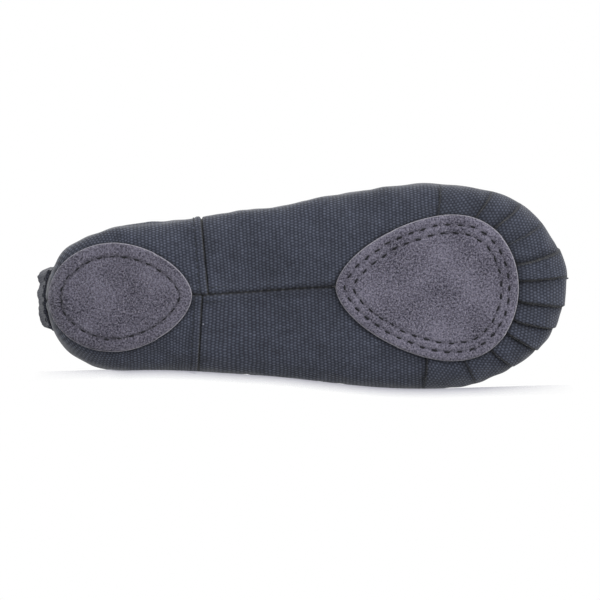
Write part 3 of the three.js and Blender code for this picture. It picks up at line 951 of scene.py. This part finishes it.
for side, k in (("left", LEFT_HEEL), ("right", RIGHT_HEEL)):
    quarter = cloth(f"canvas_quarter_{side}", k, 60, 56, 0, CANVAS_THICK, CANVAS)
    ride_heel(quarter)
    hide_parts(f"heel_quarter_{side}")
for side, k in (("left", LEFT_ARCH), ("right", RIGHT_ARCH)):
    wing = cloth(f"canvas_vamp_wing_{side}", k, 60, 50, 0, CANVAS_THICK, CANVAS)
    bend_arch(wing)
    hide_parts(f"vamp_wing_{side}")
vamp = cloth("canvas_vamp_front", FRONT, 96, 84, 0, CANVAS_THICK, CANVAS)
bend_toes(vamp)
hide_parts("vamp_front", "vamp_ball", "vamp_toe")
print("canvas:", len(vamp.data.vertices), "points in the front of the vamp")

# %% [markdown]
# ## Lining
#
# A thin cotton lining follows the canvas on the inside. Only its inner face is ever seen,
# through the opening, so it is built with fewer points and no pleats.

# %% Lining pieces
LINING_DEPTH, LINING_THICK = 1.3, 0.5
rear = np.r_[np.arange(COLUMNS - edges[3], COLUMNS, 2), np.arange(0, edges[3] + 1, 2)]
for name, k, bent, nodes in (
    ("lining_rear", rear, bend_arch, ["lining_heel", "lining_arch"]),
    ("lining_front_piece", FRONT[::2], bend_toes, ["lining_front", "lining_ball", "lining_toe"]),
):
    lining = cloth(name, k, 30, 30, LINING_DEPTH, LINING_THICK, LINING, raised=False)
    bent(lining)
    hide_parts(*nodes)

# %% [markdown]
# ## Suede patches
#
# Each patch is a thick skin that follows the sole. It is built in rings from its cut edge
# inwards, so that the edge can be rounded and the rows of stitching can press into it at a true
# distance from the edge, two on the forefoot and one on the heel. The thread pulls the suede
# down in a shallow groove, deepest where it goes through, and shade is painted into the groove.


# %% Places under the sole
def under_form(plan, offset):
    """Places on the sole, moved out by an offset from the form, and the way out."""

    def spot(p):
        return settled(p[..., 0], p[..., 1], height(p[..., 0], p[..., 1], False))

    e = 0.05
    here = spot(plan)
    du = spot(plan + [e, 0]) - here
    dv = spot(plan + [0, e]) - here
    n = unit(-np.cross(du, dv))
    return here + n * np.asarray(offset)[..., None], n


def inset(ring, distance):
    """A ring moved inwards from an outline by a true distance."""
    ahead, behind = np.roll(ring, -2, 0), np.roll(ring, 2, 0)
    way = unit(ahead - behind)
    inward = np.stack([-way[:, 1], way[:, 0]], -1)
    centre = ring.mean(0)
    if ((centre - ring) * inward).sum(1).mean() < 0:
        inward = -inward
    return ring + inward * distance


def rings(ring, true_insets, shares):
    """Rings from an outline to its middle, and how far in from the edge each place is."""
    stack = [inset(ring, i) for i in true_insets]
    last, centre = stack[-1], stack[-1].mean(0)
    stack += [centre + (last - centre) * share for share in shares]
    plan = np.stack(stack, 1)
    return plan, np.maximum(-outside(plan, ring), 0)


print("under the ball:", np.round(under_form(np.array([[BALL, 0.0]]), 0)[0], 1), "mm")

# %% Rings and rows of stitches
STITCH = 4.0  # from one needle hole to the next


def stitch_row(ring, distance):
    """The line of a row of stitches inside an outline, and how many stitches it takes."""
    line = inset(ring, distance)
    steps = np.linalg.norm(np.roll(line, -1, 0) - line, axis=1)
    return line, round(steps.sum() / STITCH)


def patch(name, ring, rows, painted_groove_shade, nap=1.0):
    """A suede patch with its rows of (distance from the edge, phase of the stitches)."""
    shares = np.r_[np.linspace(1, 0.58, 34)[1:], np.linspace(0.58, 0.003, 16)[1:]]
    plan, to_edge = rings(ring, [0, 0.12, 0.3, 0.55, 0.85], shares)
    run = np.arange(len(ring)) / len(ring)
    press, shade = np.zeros(plan.shape[:2]), np.full(plan.shape[:2], nap)
    for distance, phase in rows:
        _, count = stitch_row(ring, distance)
        beat = np.abs(np.sin(math.pi * (run * count + phase)))[:, None] ** 0.6
        press += hump(to_edge - distance, 0.6) * (0.5 - 0.2 * beat)
        # Painted shade in each stitch groove, over the suede's own tone given by nap.
        shade *= 1 - painted_groove_shade * hump(to_edge - distance, 0.45) * (1 - 0.5 * beat)
    rounded = 0.75 * np.exp(-to_edge / 0.35)
    loose = 0.1 * soft_noise(np.concatenate([plan, to_edge[..., None]], -1), 9, 8)
    top = SOLE - rounded - press + loose * np.exp(-to_edge / 3) - 0.05
    outer, _ = under_form(plan, np.minimum(top, SOLE))
    inner, _ = under_form(plan, np.full(plan.shape[:2], 0.3))
    closed = np.r_[np.arange(len(ring)), 0]
    return ring_body(
        name, outer[closed], inner[closed], plan[closed], [SUEDE, SUEDE_EDGE], 2, shade
    )


def ring_body(name, outer, inner, grain, finishes, edge_rings, shade=None):
    """A closed body built in rings. The outermost rings and the rim take the last finish."""
    loop, deep = outer.shape[:2]
    number = (np.arange((loop - 1) * deep).reshape(loop - 1, deep))[np.r_[: loop - 1, 0]]
    corner = np.arange(loop * deep).reshape(loop, deep)
    quads, flat = squares(number), squares(corner)
    on_edge = np.broadcast_to(np.arange(deep - 1) < edge_rings, (loop - 1, deep - 1)).ravel()
    points = np.vstack([outer[:-1].reshape(-1, 3), inner[:-1].reshape(-1, 3)])
    shift = (loop - 1) * deep
    mid = quads[0]
    facing = np.cross(points[mid[1]] - points[mid[0]], points[mid[3]] - points[mid[0]])
    if facing @ (points[mid[0]] - points[mid[0] + shift]) < 0:
        quads, flat = quads[:, ::-1], flat[:, ::-1]
    rim = strips(number[:, 0], number[:, 0] + shift)[:, [1, 0, 3, 2]]
    rim_flat = strips(corner[:, 0], corner[:, 0])[:, [1, 0, 3, 2]]
    if quads[0][0] == number[0, 0] and quads[0][1] != number[1, 0]:
        rim, rim_flat = rim[:, ::-1], rim_flat[:, ::-1]
    uv = np.concatenate([grain.reshape(-1, 2)[f] for f in (flat, flat[:, ::-1], rim_flat)])
    uv[-len(rim):, 2:] += 1.4
    which = np.r_[on_edge, np.zeros(len(quads)), np.ones(len(rim))] * (len(finishes) - 1)
    quads = np.vstack([quads, quads[:, ::-1] + shift, rim])
    if shade is not None:
        shade = np.r_[shade.ravel(), np.ones(shade.size)]
    return build(name, points, quads, uv, finishes, which, 70, shade)


print("stitches in the outer row:", stitch_row(FOREFOOT_OUTLINE, 3.0)[1])

# %% Both patches
FOREFOOT_ROWS = [(3.0, 0.0), (5.6, 0.35)]  # distance from the edge, phase of the stitches
HEEL_ROWS = [(4.0, 0.2)]
forefoot_suede = patch("suede_forefoot", FOREFOOT_OUTLINE, FOREFOOT_ROWS, 0.35)
bend_toes(forefoot_suede)
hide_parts("forefoot_patch")
heel_suede = patch("suede_heel", HEEL_OUTLINE, HEEL_ROWS, 0.65, 0.84)
ride_heel(heel_suede)
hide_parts("heel_patch")
print("points in the suede:", len(forefoot_suede.data.vertices), len(heel_suede.data.vertices))

# %% [markdown]
# ## Stitches
#
# A stitch that shows is a short bridge of thread between two needle holes: it rises out of
# one, lies in the groove that it has pulled, and dives into the next. Each row is one piece,
# made of separate small bent tubes.

# %% Stitch rows
def tubes(name, middles, ways, ups, length, thick, sink, finish=THREAD):
    """Small bent tubes: one for each middle point, way along and way out."""
    sides, hoops = 6, 7
    t = np.linspace(-1, 1, hoops)
    arch = (1 - t**4) * (sink + thick * 0.5) - sink
    across = np.cross(ways, ups)
    path = (
        middles[:, None]
        + ways[:, None] * (t * length / 2)[:, None]
        + ups[:, None] * arch[:, None]
    )
    a = np.linspace(0, 2 * math.pi, sides, endpoint=False)
    fat = thick / 2 * np.where(np.abs(t) > 0.99, 0.6, 1.0)
    circle = across[:, None, None] * np.cos(a)[:, None] + ups[:, None, None] * np.sin(a)[:, None]
    points = path[:, :, None] + circle * fat[None, :, None, None]
    n = len(middles)
    number = np.arange(n * hoops * sides).reshape(n, hoops, sides)
    wrap = np.roll(number, -1, 2)
    quads = np.stack([number[:, :-1], wrap[:, :-1], wrap[:, 1:], number[:, 1:]], -1).reshape(-1, 4)
    ends = [number[:, 0, ::-1], number[:, -1]]
    caps = [e[:, half_cap] for half_cap in ([0, 1, 2, 3], [0, 3, 4, 5]) for e in ends]
    quads = np.vstack([quads, *caps])
    flat = points.reshape(-1, 3)
    run = np.broadcast_to((t * length / 2)[None, :, None], points.shape[:3]).reshape(-1)
    turn = np.broadcast_to((a * thick / 2)[None, None, :], points.shape[:3]).reshape(-1)
    uv = np.stack([run + np.repeat(np.arange(n) * 7.3, hoops * sides), turn], -1)
    return build(name, flat, quads, uv[quads], [finish], None, 80)


def along_line(line, count, phase, closed=True):
    """Evenly spaced middles and directions along a line of points."""
    ring = np.vstack([line, line[:1]]) if closed else line
    run = np.r_[0, np.cumsum(np.linalg.norm(np.diff(ring, axis=0), axis=1))]
    places = (np.arange(count) + 0.5 + phase) / count * run[-1]
    places = places % run[-1] if closed else places

    def at(where):
        where = where % run[-1] if closed else np.clip(where, 0, run[-1])
        return np.stack([np.interp(where, run, c) for c in ring.T], -1)

    return at(places), unit(at(places + 0.6) - at(places - 0.6))


print("each stitch is a tube of", 7 * 6, "points")


# %% Stitches of the sole
def sole_stitches(name, ring, rows, sunk, body):
    """Rows of thick stitches on a patch, each a little askew as sewn by hand and eye."""
    for number, (distance, phase) in enumerate(rows, 1):
        line, count = stitch_row(ring, distance)
        pick = np.random.default_rng(number)
        plan, way = along_line(line, count, 0.5 + phase)
        plan = plan + np.stack([-way[:, 1], way[:, 0]], -1) * pick.normal(0, 0.12, (count, 1))
        tilt = pick.normal(0, 0.1, count)
        way = np.stack([way[:, 0] - tilt * way[:, 1], way[:, 1] + tilt * way[:, 0]], -1)
        middle, out = under_form(plan, 1.2 - sunk + pick.normal(0, 0.07, count))
        flat = square_to(np.concatenate([way, np.zeros((count, 1))], -1), out)
        piece = tubes(f"{name}_row_{number}", middle, flat, out, 2.3, 0.55, 0.5)
        body(piece)
        print(piece.name, count, "stitches")


sole_stitches("thread_forefoot", FOREFOOT_OUTLINE, FOREFOOT_ROWS, 0.0, bend_toes)
sole_stitches("thread_heel", HEEL_OUTLINE, HEEL_ROWS, 0.12, ride_heel)

# %% [markdown]
# ## Gathered binding
#
# A strip of canvas cut on the bias is folded over the raw edge and sewn down on both sides,
# which leaves a casing. The elastic drawstring in it is pulled up, so the binding is longer
# than the edge that it lies on, and stands in small ribs across its length with a few
# broader puckers. It is swept round the topline as a folded strip, open underneath.

# %% Fold of the strip
rim_line = table[:, -1]
step = np.linalg.norm(np.roll(rim_line, -1, 0) - rim_line, axis=1)
round_edge = np.r_[0, np.cumsum(step)]  # run along the topline at each column
EDGE_LENGTH = round_edge[-1]
FOLD = np.array(
    [(8, 0.3), (8, 0.9)]
    + [(w, 0.9) for w in (7.4, 6.6, 5.8, 5.0, 4.2, 3.4, 2.6, 1.9, 1.3)]
    + [(0.9 - 0.9 * math.sin(a), -0.9 + 1.8 * math.cos(a)) for a in np.linspace(0.2, 2.94, 11)]
    + [(w, -2.7) for w in (1.3, 1.9, 2.6, 3.4, 4.2, 5.0, 5.8, 6.6, 7.4)]
    + [(8, -2.7), (8, -2.1), (5.5, -2.1), (3.0, -2.1), (1.2, -2.1), (0.7, -0.9)]
    + [(1.2, 0.3), (3.0, 0.3), (5.5, 0.3)]
)  # depth under the topline, and distance out from the form
print("the strip is folded through", len(FOLD), "points, round", round(EDGE_LENGTH), "mm")


# %% Gathers
def gathers(run, depth):
    """Ribs and puckers of the gathered strip: unevenly spaced, the same every time."""
    turn = 2 * math.pi * run / EDGE_LENGTH
    uneven = 1.5 * np.sin(7 * turn + 1) + 1.1 * np.sin(13 * turn + 2.2) + 0.2 * depth
    smooth_heel = 1 - 0.75 * hump(np.minimum(run, EDGE_LENGTH - run), 14)
    fine = np.cos(150 * turn + uneven) * (0.75 + 0.25 * np.sin(31 * turn)) * smooth_heel
    broad = np.cos(44 * turn + 0.7 * uneven + 0.5) + 0.6 * np.sin(29 * turn + 1.3)
    return fine, broad


print("about", round(EDGE_LENGTH / 150, 1), "mm from rib to rib")

# %% Binding swept round the topline
k = np.arange(COLUMNS + 1)
depth, out = FOLD.T
run, w = round_edge[:, None], depth[None, :]
fine, broad = gathers(run, w)
sewn_down = 1 - 0.85 * hump(w - 6.9, 0.9)
outside_leg = np.broadcast_to((out[None, :] > 0.5) | (out[None, :] < -2.5), fine.shape)
swell = np.where(outside_leg, 0.24 * fine + 0.2 * broad + 0.12, 0) * sewn_down
crown = np.broadcast_to((depth < 1.0)[None, :], fine.shape)
lift = np.where(out[None, :] > -0.9, swell, -swell)
drop = np.where(crown, -0.22 * fine - 0.3 * broad, 0)
kk = np.broadcast_to(k[:, None], fine.shape) % COLUMNS
row = row_under_edge(kk, np.clip(w + drop, 0, None))
loop_points = on_form(kk, row, out[None, :] + lift)
beyond = np.minimum(w + drop, 0)[..., None]
loop_points = loop_points - unit(table[kk, -1] - table[kk, -4]) * beyond
number = np.arange(COLUMNS * len(FOLD)).reshape(COLUMNS, -1)[np.r_[:COLUMNS, 0]]
quads = squares(number[:, np.r_[: len(FOLD), 0]])[:, ::-1]
profile_run = np.r_[0, np.cumsum(np.linalg.norm(np.diff(FOLD, axis=0), axis=1))]
profile_run = np.r_[profile_run, profile_run[-1] + 2.5]
u, v = np.meshgrid(round_edge, profile_run, indexing="ij")
bias = np.stack([(u + v) * 0.7071, (v - u) * 0.7071], -1)
flat = squares(np.arange(u.size).reshape(u.shape))[:, ::-1]
binding = build(
    "gathered_binding", loop_points[:-1].reshape(-1, 3), quads,
    bias.reshape(-1, 2)[flat], [BINDING], None, 60,
)  # fmt: skip
bend_arch(binding)
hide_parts("binding_heel", "binding_left", "binding_right", "binding_throat")
print("binding with", len(binding.data.vertices), "points")

# %% [markdown]
# ## Fine stitching
#
# Finer cotton thread, in the colour of the cloth, sews the rest. It runs along both faces of
# the binding, beside the seam across the sole, where it holds the turned allowance down, and
# for a short way beside the middle seam. At the throat a small closed buttonhole lets the
# drawstring out: a slit with close stitches on both sides.

# %% A row of fine thread
def fine_row(name, k, row, offset, body, spacing=2.7, closed=False, inner=False):
    """A row of small stitches through places of the table."""
    path, out = on_form(k, row, offset), look_up(outward, k, row)
    run = np.r_[0, np.cumsum(np.linalg.norm(np.diff(path, axis=0), axis=1))]
    count = round(run[-1] / spacing)
    middle, way = along_line(path, count, 0, closed)
    places = (np.arange(count) + 0.5) / count * run[-1]
    out = np.stack([np.interp(places, run, c) for c in out.T], -1) * (-1 if inner else 1)
    out = square_to(out, way)
    piece = tubes(name, middle, way, out, 0.62 * spacing, 0.36, 0.2, SEAM_THREAD)
    body(piece)
    print(name, "has", count, "stitches")


k = np.arange(COLUMNS, dtype=float)
for face, offset in (("outside", 0.93), ("inside", -2.73)):
    row = row_under_edge(k, 6.9)
    fine_row(f"thread_binding_{face}", k, row, offset, bend_arch, 2.7, True, offset < 0)

# %% Beside the seams
BESIDE_SEAM = 2.5
for side, way_round in (("left", 1), ("right", -1)):
    from_seam = one_side[edges[2] :: -1] - CROSS_SEAM + BESIDE_SEAM
    k_seam = way_round * (edges[2] - np.argmin(np.abs(from_seam)))
    row = np.linspace(4, row_under_edge(k_seam, 9.0), 120)
    k = np.full(len(row), k_seam % COLUMNS)
    lift = relief(k, row, on_form(k, row))[0]
    fine_row(f"thread_cross_seam_{side}", k, row, lift + 0.02, ride_heel, 2.4)
    k = (way_round * np.arange(edges[2] + 2, edges[2] + 16)) % COLUMNS
    row = ROWS * 2.3 / under_length[k]
    lift = relief(k, row, on_form(k, row))[0]
    fine_row(f"thread_middle_seam_{side}", k, row, lift + 0.02, bend_arch, 2.4)

# %% Buttonhole of the drawstring
throat_run = round_edge[edges[-1]]
across_slit = np.tile([-0.85, 0.85], 11)
run = throat_run + np.repeat(np.linspace(-2.6, 2.6, 11), 2)
k = np.interp(run, round_edge, np.arange(COLUMNS + 1))
row = row_under_edge(k, 3.9 + across_slit)
middle = on_form(k, row, 1.0)
up_wall = unit(on_form(k, row + 1, 1.0) - middle)
out = square_to(look_up(outward, k, row), up_wall)
buttonhole = tubes("thread_buttonhole", middle, up_wall, out, 1.5, 0.45, 0.2, SEAM_THREAD)
bend_arch(buttonhole)
print("buttonhole of", len(run), "stitches")

# %% [markdown]
# ## Elastic drawstring
#
# A flat elastic lies in the casing above the raw edges. It is hidden, except where it would
# come out at the throat, but it is a real piece, so it is here: one closed flat band.

# %% Drawstring
BAND = [(0.9, -0.3), (0.9, -1.5), (2.0, -1.55), (3.1, -1.5), (3.1, -0.3), (2.0, -0.25)]
depth, out = np.array(BAND).T
k = np.arange(0, COLUMNS, 2)
kk = np.broadcast_to(k[:, None], (len(k), len(BAND)))
points = on_form(kk, row_under_edge(kk, depth[None, :]), np.broadcast_to(out, kk.shape))
number = np.arange(points[..., 0].size).reshape(len(k), -1)[np.r_[: len(k), 0]]
quads = squares(number[:, np.r_[: len(BAND), 0]].T)
u, v = np.meshgrid(round_edge[::2], [0, 1.2, 2.3, 3.4, 4.6, 5.7, 6.8], indexing="ij")
flat = squares(np.arange(u.size).reshape(u.shape).T)
drawstring = build(
    "elastic_drawstring", points.reshape(-1, 3), quads,
    np.stack([u, v], -1).reshape(-1, 2)[flat], [ELASTIC], None, 60,
)  # fmt: skip
bend_arch(drawstring)
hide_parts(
    "drawstring_heel", "drawstring_left", "drawstring_right", "drawstring_throat"
)
print("drawstring band of", len(k), "steps")

# %% [markdown]
# ## Instep elastic
#
# A child's slipper is kept on by one band of elastic over the instep, sewn inside the walls
# at both ends. It is a flat knitted band, a little thicker at its edges, and it rises out of
# the slipper in an arch.

# %% Line of the strap
STRAP_MIDDLE = THROAT - 21
over_form = np.linspace(1, -1, 1201)
share = np.sign(over_form) * np.sin(np.abs(over_form) * math.pi / 2) ** (2 / 2.3)
y_line = share * half_width(np.array(STRAP_MIDDLE))
z_line = height(np.full_like(y_line, STRAP_MIDDLE), y_line, True)
section = settled(np.full_like(y_line, STRAP_MIDDLE), y_line, z_line)


def way_out(line):
    """Directions square to a line that lies across the slipper, away from the foot."""
    out = np.cross([1.0, 0, 0], unit(np.gradient(line, axis=0)))
    return out * np.sign(out[len(out) // 2, 2])


middle_line = section - way_out(section) * 3.6
middle_line = middle_line[middle_line[:, 2] > 17.0]
middle_line, strap_length = evenly(middle_line, 150)
out = way_out(middle_line)
print("strap", round(strap_length), "mm long")

# %% Strap
across = np.array([-5, -4.85, -4.3, -3.2, -2.0, -0.7, 0.7, 2.0, 3.2, 4.3, 4.85, 5.0])
thick = np.array([0.25, 0.55, 0.6, 0.5, 0.52, 0.5, 0.52, 0.5, 0.52, 0.6, 0.55, 0.25])
sag = -0.5 * hump(np.linspace(-1, 1, 151), 0.5)[:, None] * (1 - (across / 5) ** 2)
base = middle_line[:, None] + np.array([1.0, 0, 0]) * across[:, None]
top_layer = base + out[:, None] * (thick + sag)[..., None]
low_layer = base - out[:, None] * (thick - sag)[..., None]
run = np.linspace(0, strap_length, 151)
grain = np.stack(np.meshgrid(run, across, indexing="ij"), -1)
strap = layered("instep_elastic", top_layer, low_layer, grain, [ELASTIC], 60)
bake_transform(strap)  # fmt: skip
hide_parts("instep_strap")
print("strap", round(float(across[-1] - across[0])), "mm wide")

# %% [markdown]
# ## Pads and seam tapes
#
# Inside, a thin cloth-covered foam pad lies over each suede patch, so that the foot doesn't
# feel the sewing. It is crowned in the middle and thin at its edge. Cotton tapes cover the
# seam up the back of the heel and the one along the arch.


# %% Pads
UNDER_LINING = -2.1  # offset from the form to what lies on the lining, with clearance


def pad(name, ring, node, body):
    """A thin crowned pad over a patch, 4 mm in from the patch's outline."""
    edge = inset(ring, 4.0)
    plan, from_edge = rings(edge, [0, 0.25, 0.6, 1.1], np.linspace(0.96, 0.003, 30))
    full = 1 - np.exp(-from_edge / 0.9)
    quilt = 0.12 * soft_noise(np.concatenate([plan, plan[..., :1] * 0], -1), 11, 4)
    bottom, _ = under_form(plan, np.full(plan.shape[:2], UNDER_LINING))
    crowned = 0.25 + (1.95 + 0.25 * from_edge / 22 + quilt) * full
    top, _ = under_form(plan, UNDER_LINING - crowned)
    closed = np.r_[np.arange(len(ring)), 0]
    made = ring_body(name, top[closed], bottom[closed], plan[closed], [PAD_COVER], 0)
    body(made)
    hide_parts(node)
    print(name, "up to", round(float(crowned.max()), 1), "mm thick")


pad("pad_heel", HEEL_OUTLINE, "heel_insole", ride_heel)
pad("pad_forefoot", FOREFOOT_OUTLINE, "forefoot_insole", bend_toes)

# %% Tape up the back seam
UNDER_TAPE = UNDER_LINING - 0.6
reach = np.linspace(-4.5, 4.5, 17)
k_back = np.interp(reach, np.r_[-around[20:0:-1], around[:21]], np.arange(-20, 21))
kk = np.broadcast_to(k_back[:, None], (17, 40)) % COLUMNS
top_mm = per_column(wall_length, kk) - 8.3
mm = np.linspace(0, 1, 40)[None, :] * (top_mm + 4.0) - 4.0
row = row_at(kk, mm)
grain = np.stack([mm, np.broadcast_to(reach[:, None], mm.shape)], -1)
ridge = 0.25 * np.exp(-((reach / 1.2) ** 2))[:, None] * np.ones_like(mm)
back_tape = layered(
    "tape_back_seam", on_form(kk, row, np.full(row.shape, UNDER_LINING)),
    on_form(kk, row, UNDER_TAPE - ridge), grain, [TAPE], 60,
)  # fmt: skip
ride_heel(back_tape)
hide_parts("back_seam_tape")
print("the back seam is taped up to", round(float(mm.max())), "mm above the widest line")

# %% Tape along the sole seam
d = np.linspace(CROSS_SEAM + 0.3, 73.1, 45)
y = np.linspace(-4.5, 4.5, 15)
plan = np.stack(np.meshgrid(d, y, indexing="ij"), -1)
ridge = 0.3 * hump(plan[..., 1], 1.3)
arch_tape = layered(
    "tape_sole_seam", under_form(plan, np.full(plan.shape[:2], UNDER_LINING))[0],
    under_form(plan, UNDER_TAPE - ridge)[0], plan, [TAPE], 60,
)  # fmt: skip
bend_arch(arch_tape)
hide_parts("sole_seam_tape")
print("the sole seam is taped for", round(float(d[-1] - d[0])), "mm")

# %% [markdown]
# ## Stage and light
#
# The slipper is shown on plain white, in soft light from all round, dimmer from its left
# side, with a large soft light towards the toe and one above. Two surfaces belong to the
# stage. One is the pale floor that it stands on, seen only from above. The other is a grey
# cover that its side rests on when the sole is turned to the viewer: it gives way under the
# slipper, ends at the sole, and melts into the white towards the viewer and past the ends,
# so that its grey paints a shadow along the slipper's edge, added to the real shading there. Each
# shows its face to the eye alone, lets light through, and fades out further from the slipper.


# %% A pale surface of the stage
def stage_surface(name, points, faces, shade, fades):
    """A one-sided pale surface. Each fade: axis, metres where it is gone and where whole."""
    mesh = bpy.data.meshes.new(name)
    mesh.from_pydata(points, [], faces)
    surface = bpy.data.objects.new(name, mesh)
    bpy.context.scene.collection.objects.link(surface)
    material = bpy.data.materials.new(name + " paper")
    material.use_nodes = True
    tree = material.node_tree
    tree.nodes.clear()
    path = add(tree, "LightPath")
    place = add(tree, "NewGeometry")
    front = calculate(tree, "SUBTRACT", 1.0, place.outputs["Backfacing"])
    seen = calculate(tree, "MULTIPLY", path.outputs["Is Camera Ray"], front)
    split = add(tree, "SeparateXYZ", {0: place.outputs["Position"]})
    for axis, gone, whole in fades:
        away = calculate(tree, "ABSOLUTE", split.outputs[axis])
        seen = calculate(tree, "MULTIPLY", seen, spread(tree, away, gone, whole))
    paper = add(tree, "BsdfDiffuse", {"Color": linear(shade)})
    clear = add(tree, "BsdfTransparent")
    mixed = add(tree, "MixShader", {0: seen, 1: clear.outputs[0], 2: paper.outputs[0]})
    add(tree, "OutputMaterial", {"Surface": mixed.outputs[0]})
    mesh.materials.append(material)
    print(name, "with", len(faces), "faces")


# %% Floor, and a grey cover that paints a shadow
WIDE = 3.0  # metres to each side
CLEARANCE = 0.0003  # between the cover and the widest line of the slipper
floor_z = -0.0004  # clear of the suede
UNDER_FLOOR = 2 * floor_z
corners = [(-WIDE, -WIDE), (WIDE, -WIDE), (WIDE, WIDE), (-WIDE, WIDE)]
ground = [(*c, floor_z) for c in corners]
stage_surface("floor", ground, [(0, 1, 2, 3)], "#f4f4f6", [(0, 2.6, 1.1), (1, 2.6, 1.1)])
d = np.linspace(20, 126, 54)
side = in_frame(settled(d, half_width(d), np.full_like(d, WIDEST)))
side[:, 1] -= CLEARANCE + WIDEST * MM * math.tan(lean_down)
side = np.vstack([[-0.6, *side[0, 1:]], side, [0.6, *side[-1, 1:]]])
cover = [(x, y, z) for x, y, _ in side for z in (UNDER_FLOOR, -0.4)]
faces = [(2 * i, 2 * i + 1, 2 * i + 3, 2 * i + 2) for i in range(len(side) - 1)]
# The grey of this cover, fading to nothing away from the slipper, paints a shadow along its lower
# edge.
stage_surface("painted-shadow cover", cover, faces, "#b9b9c1", [(0, 0.086, 0.055), (2, 0.055, 0.004)])


# %% Soft lights
def softbox(name, place, power, target=(0, 0, 0.01)):
    """A round area light, one metre across, that points at the slipper."""
    light = bpy.data.lights.new(name, "AREA")
    light.shape, light.size, light.energy = "DISK", 1.0, power
    lamp = bpy.data.objects.new(name, light)
    bpy.context.scene.collection.objects.link(lamp)
    aim = Vector(target) - Vector(place)
    turn = aim.to_track_quat("-Z", "Y").to_matrix().to_4x4()
    lamp.matrix_world = Matrix.Translation(place) @ turn
    print(name, "at", power, "watts")


softbox("soft light towards the toe and sole", (1.0, -0.75, -0.95), 13)
softbox("soft light from above", (-0.5, -0.4, 1.3), 12)

# %% White all round
BRIGHT_SIDE, DIM_SIDE = 1.08, 0.45
world = bpy.data.worlds.new("white studio")
world.use_nodes = True
sky = world.node_tree
direction = add(sky, "SeparateXYZ", {0: add(sky, "TexCoord").outputs["Generated"]})
lit = spread(sky, direction.outputs[1], -0.5, 0.9, BRIGHT_SIDE, DIM_SIDE)
seen = add(sky, "LightPath").outputs["Is Camera Ray"]
brightness = add(sky, "Mix", {0: seen, 2: lit, 3: 1.0}, data_type="FLOAT").outputs[0]
background = sky.nodes["Background"]
background.inputs[0].default_value = linear("#ffffff")
sky.links.new(brightness, background.inputs[1])
bpy.context.scene.world = world
bpy.context.scene.view_settings.view_transform = "Standard"
print("white to the eye, and on the slipper from", BRIGHT_SIDE, "down to", DIM_SIDE)
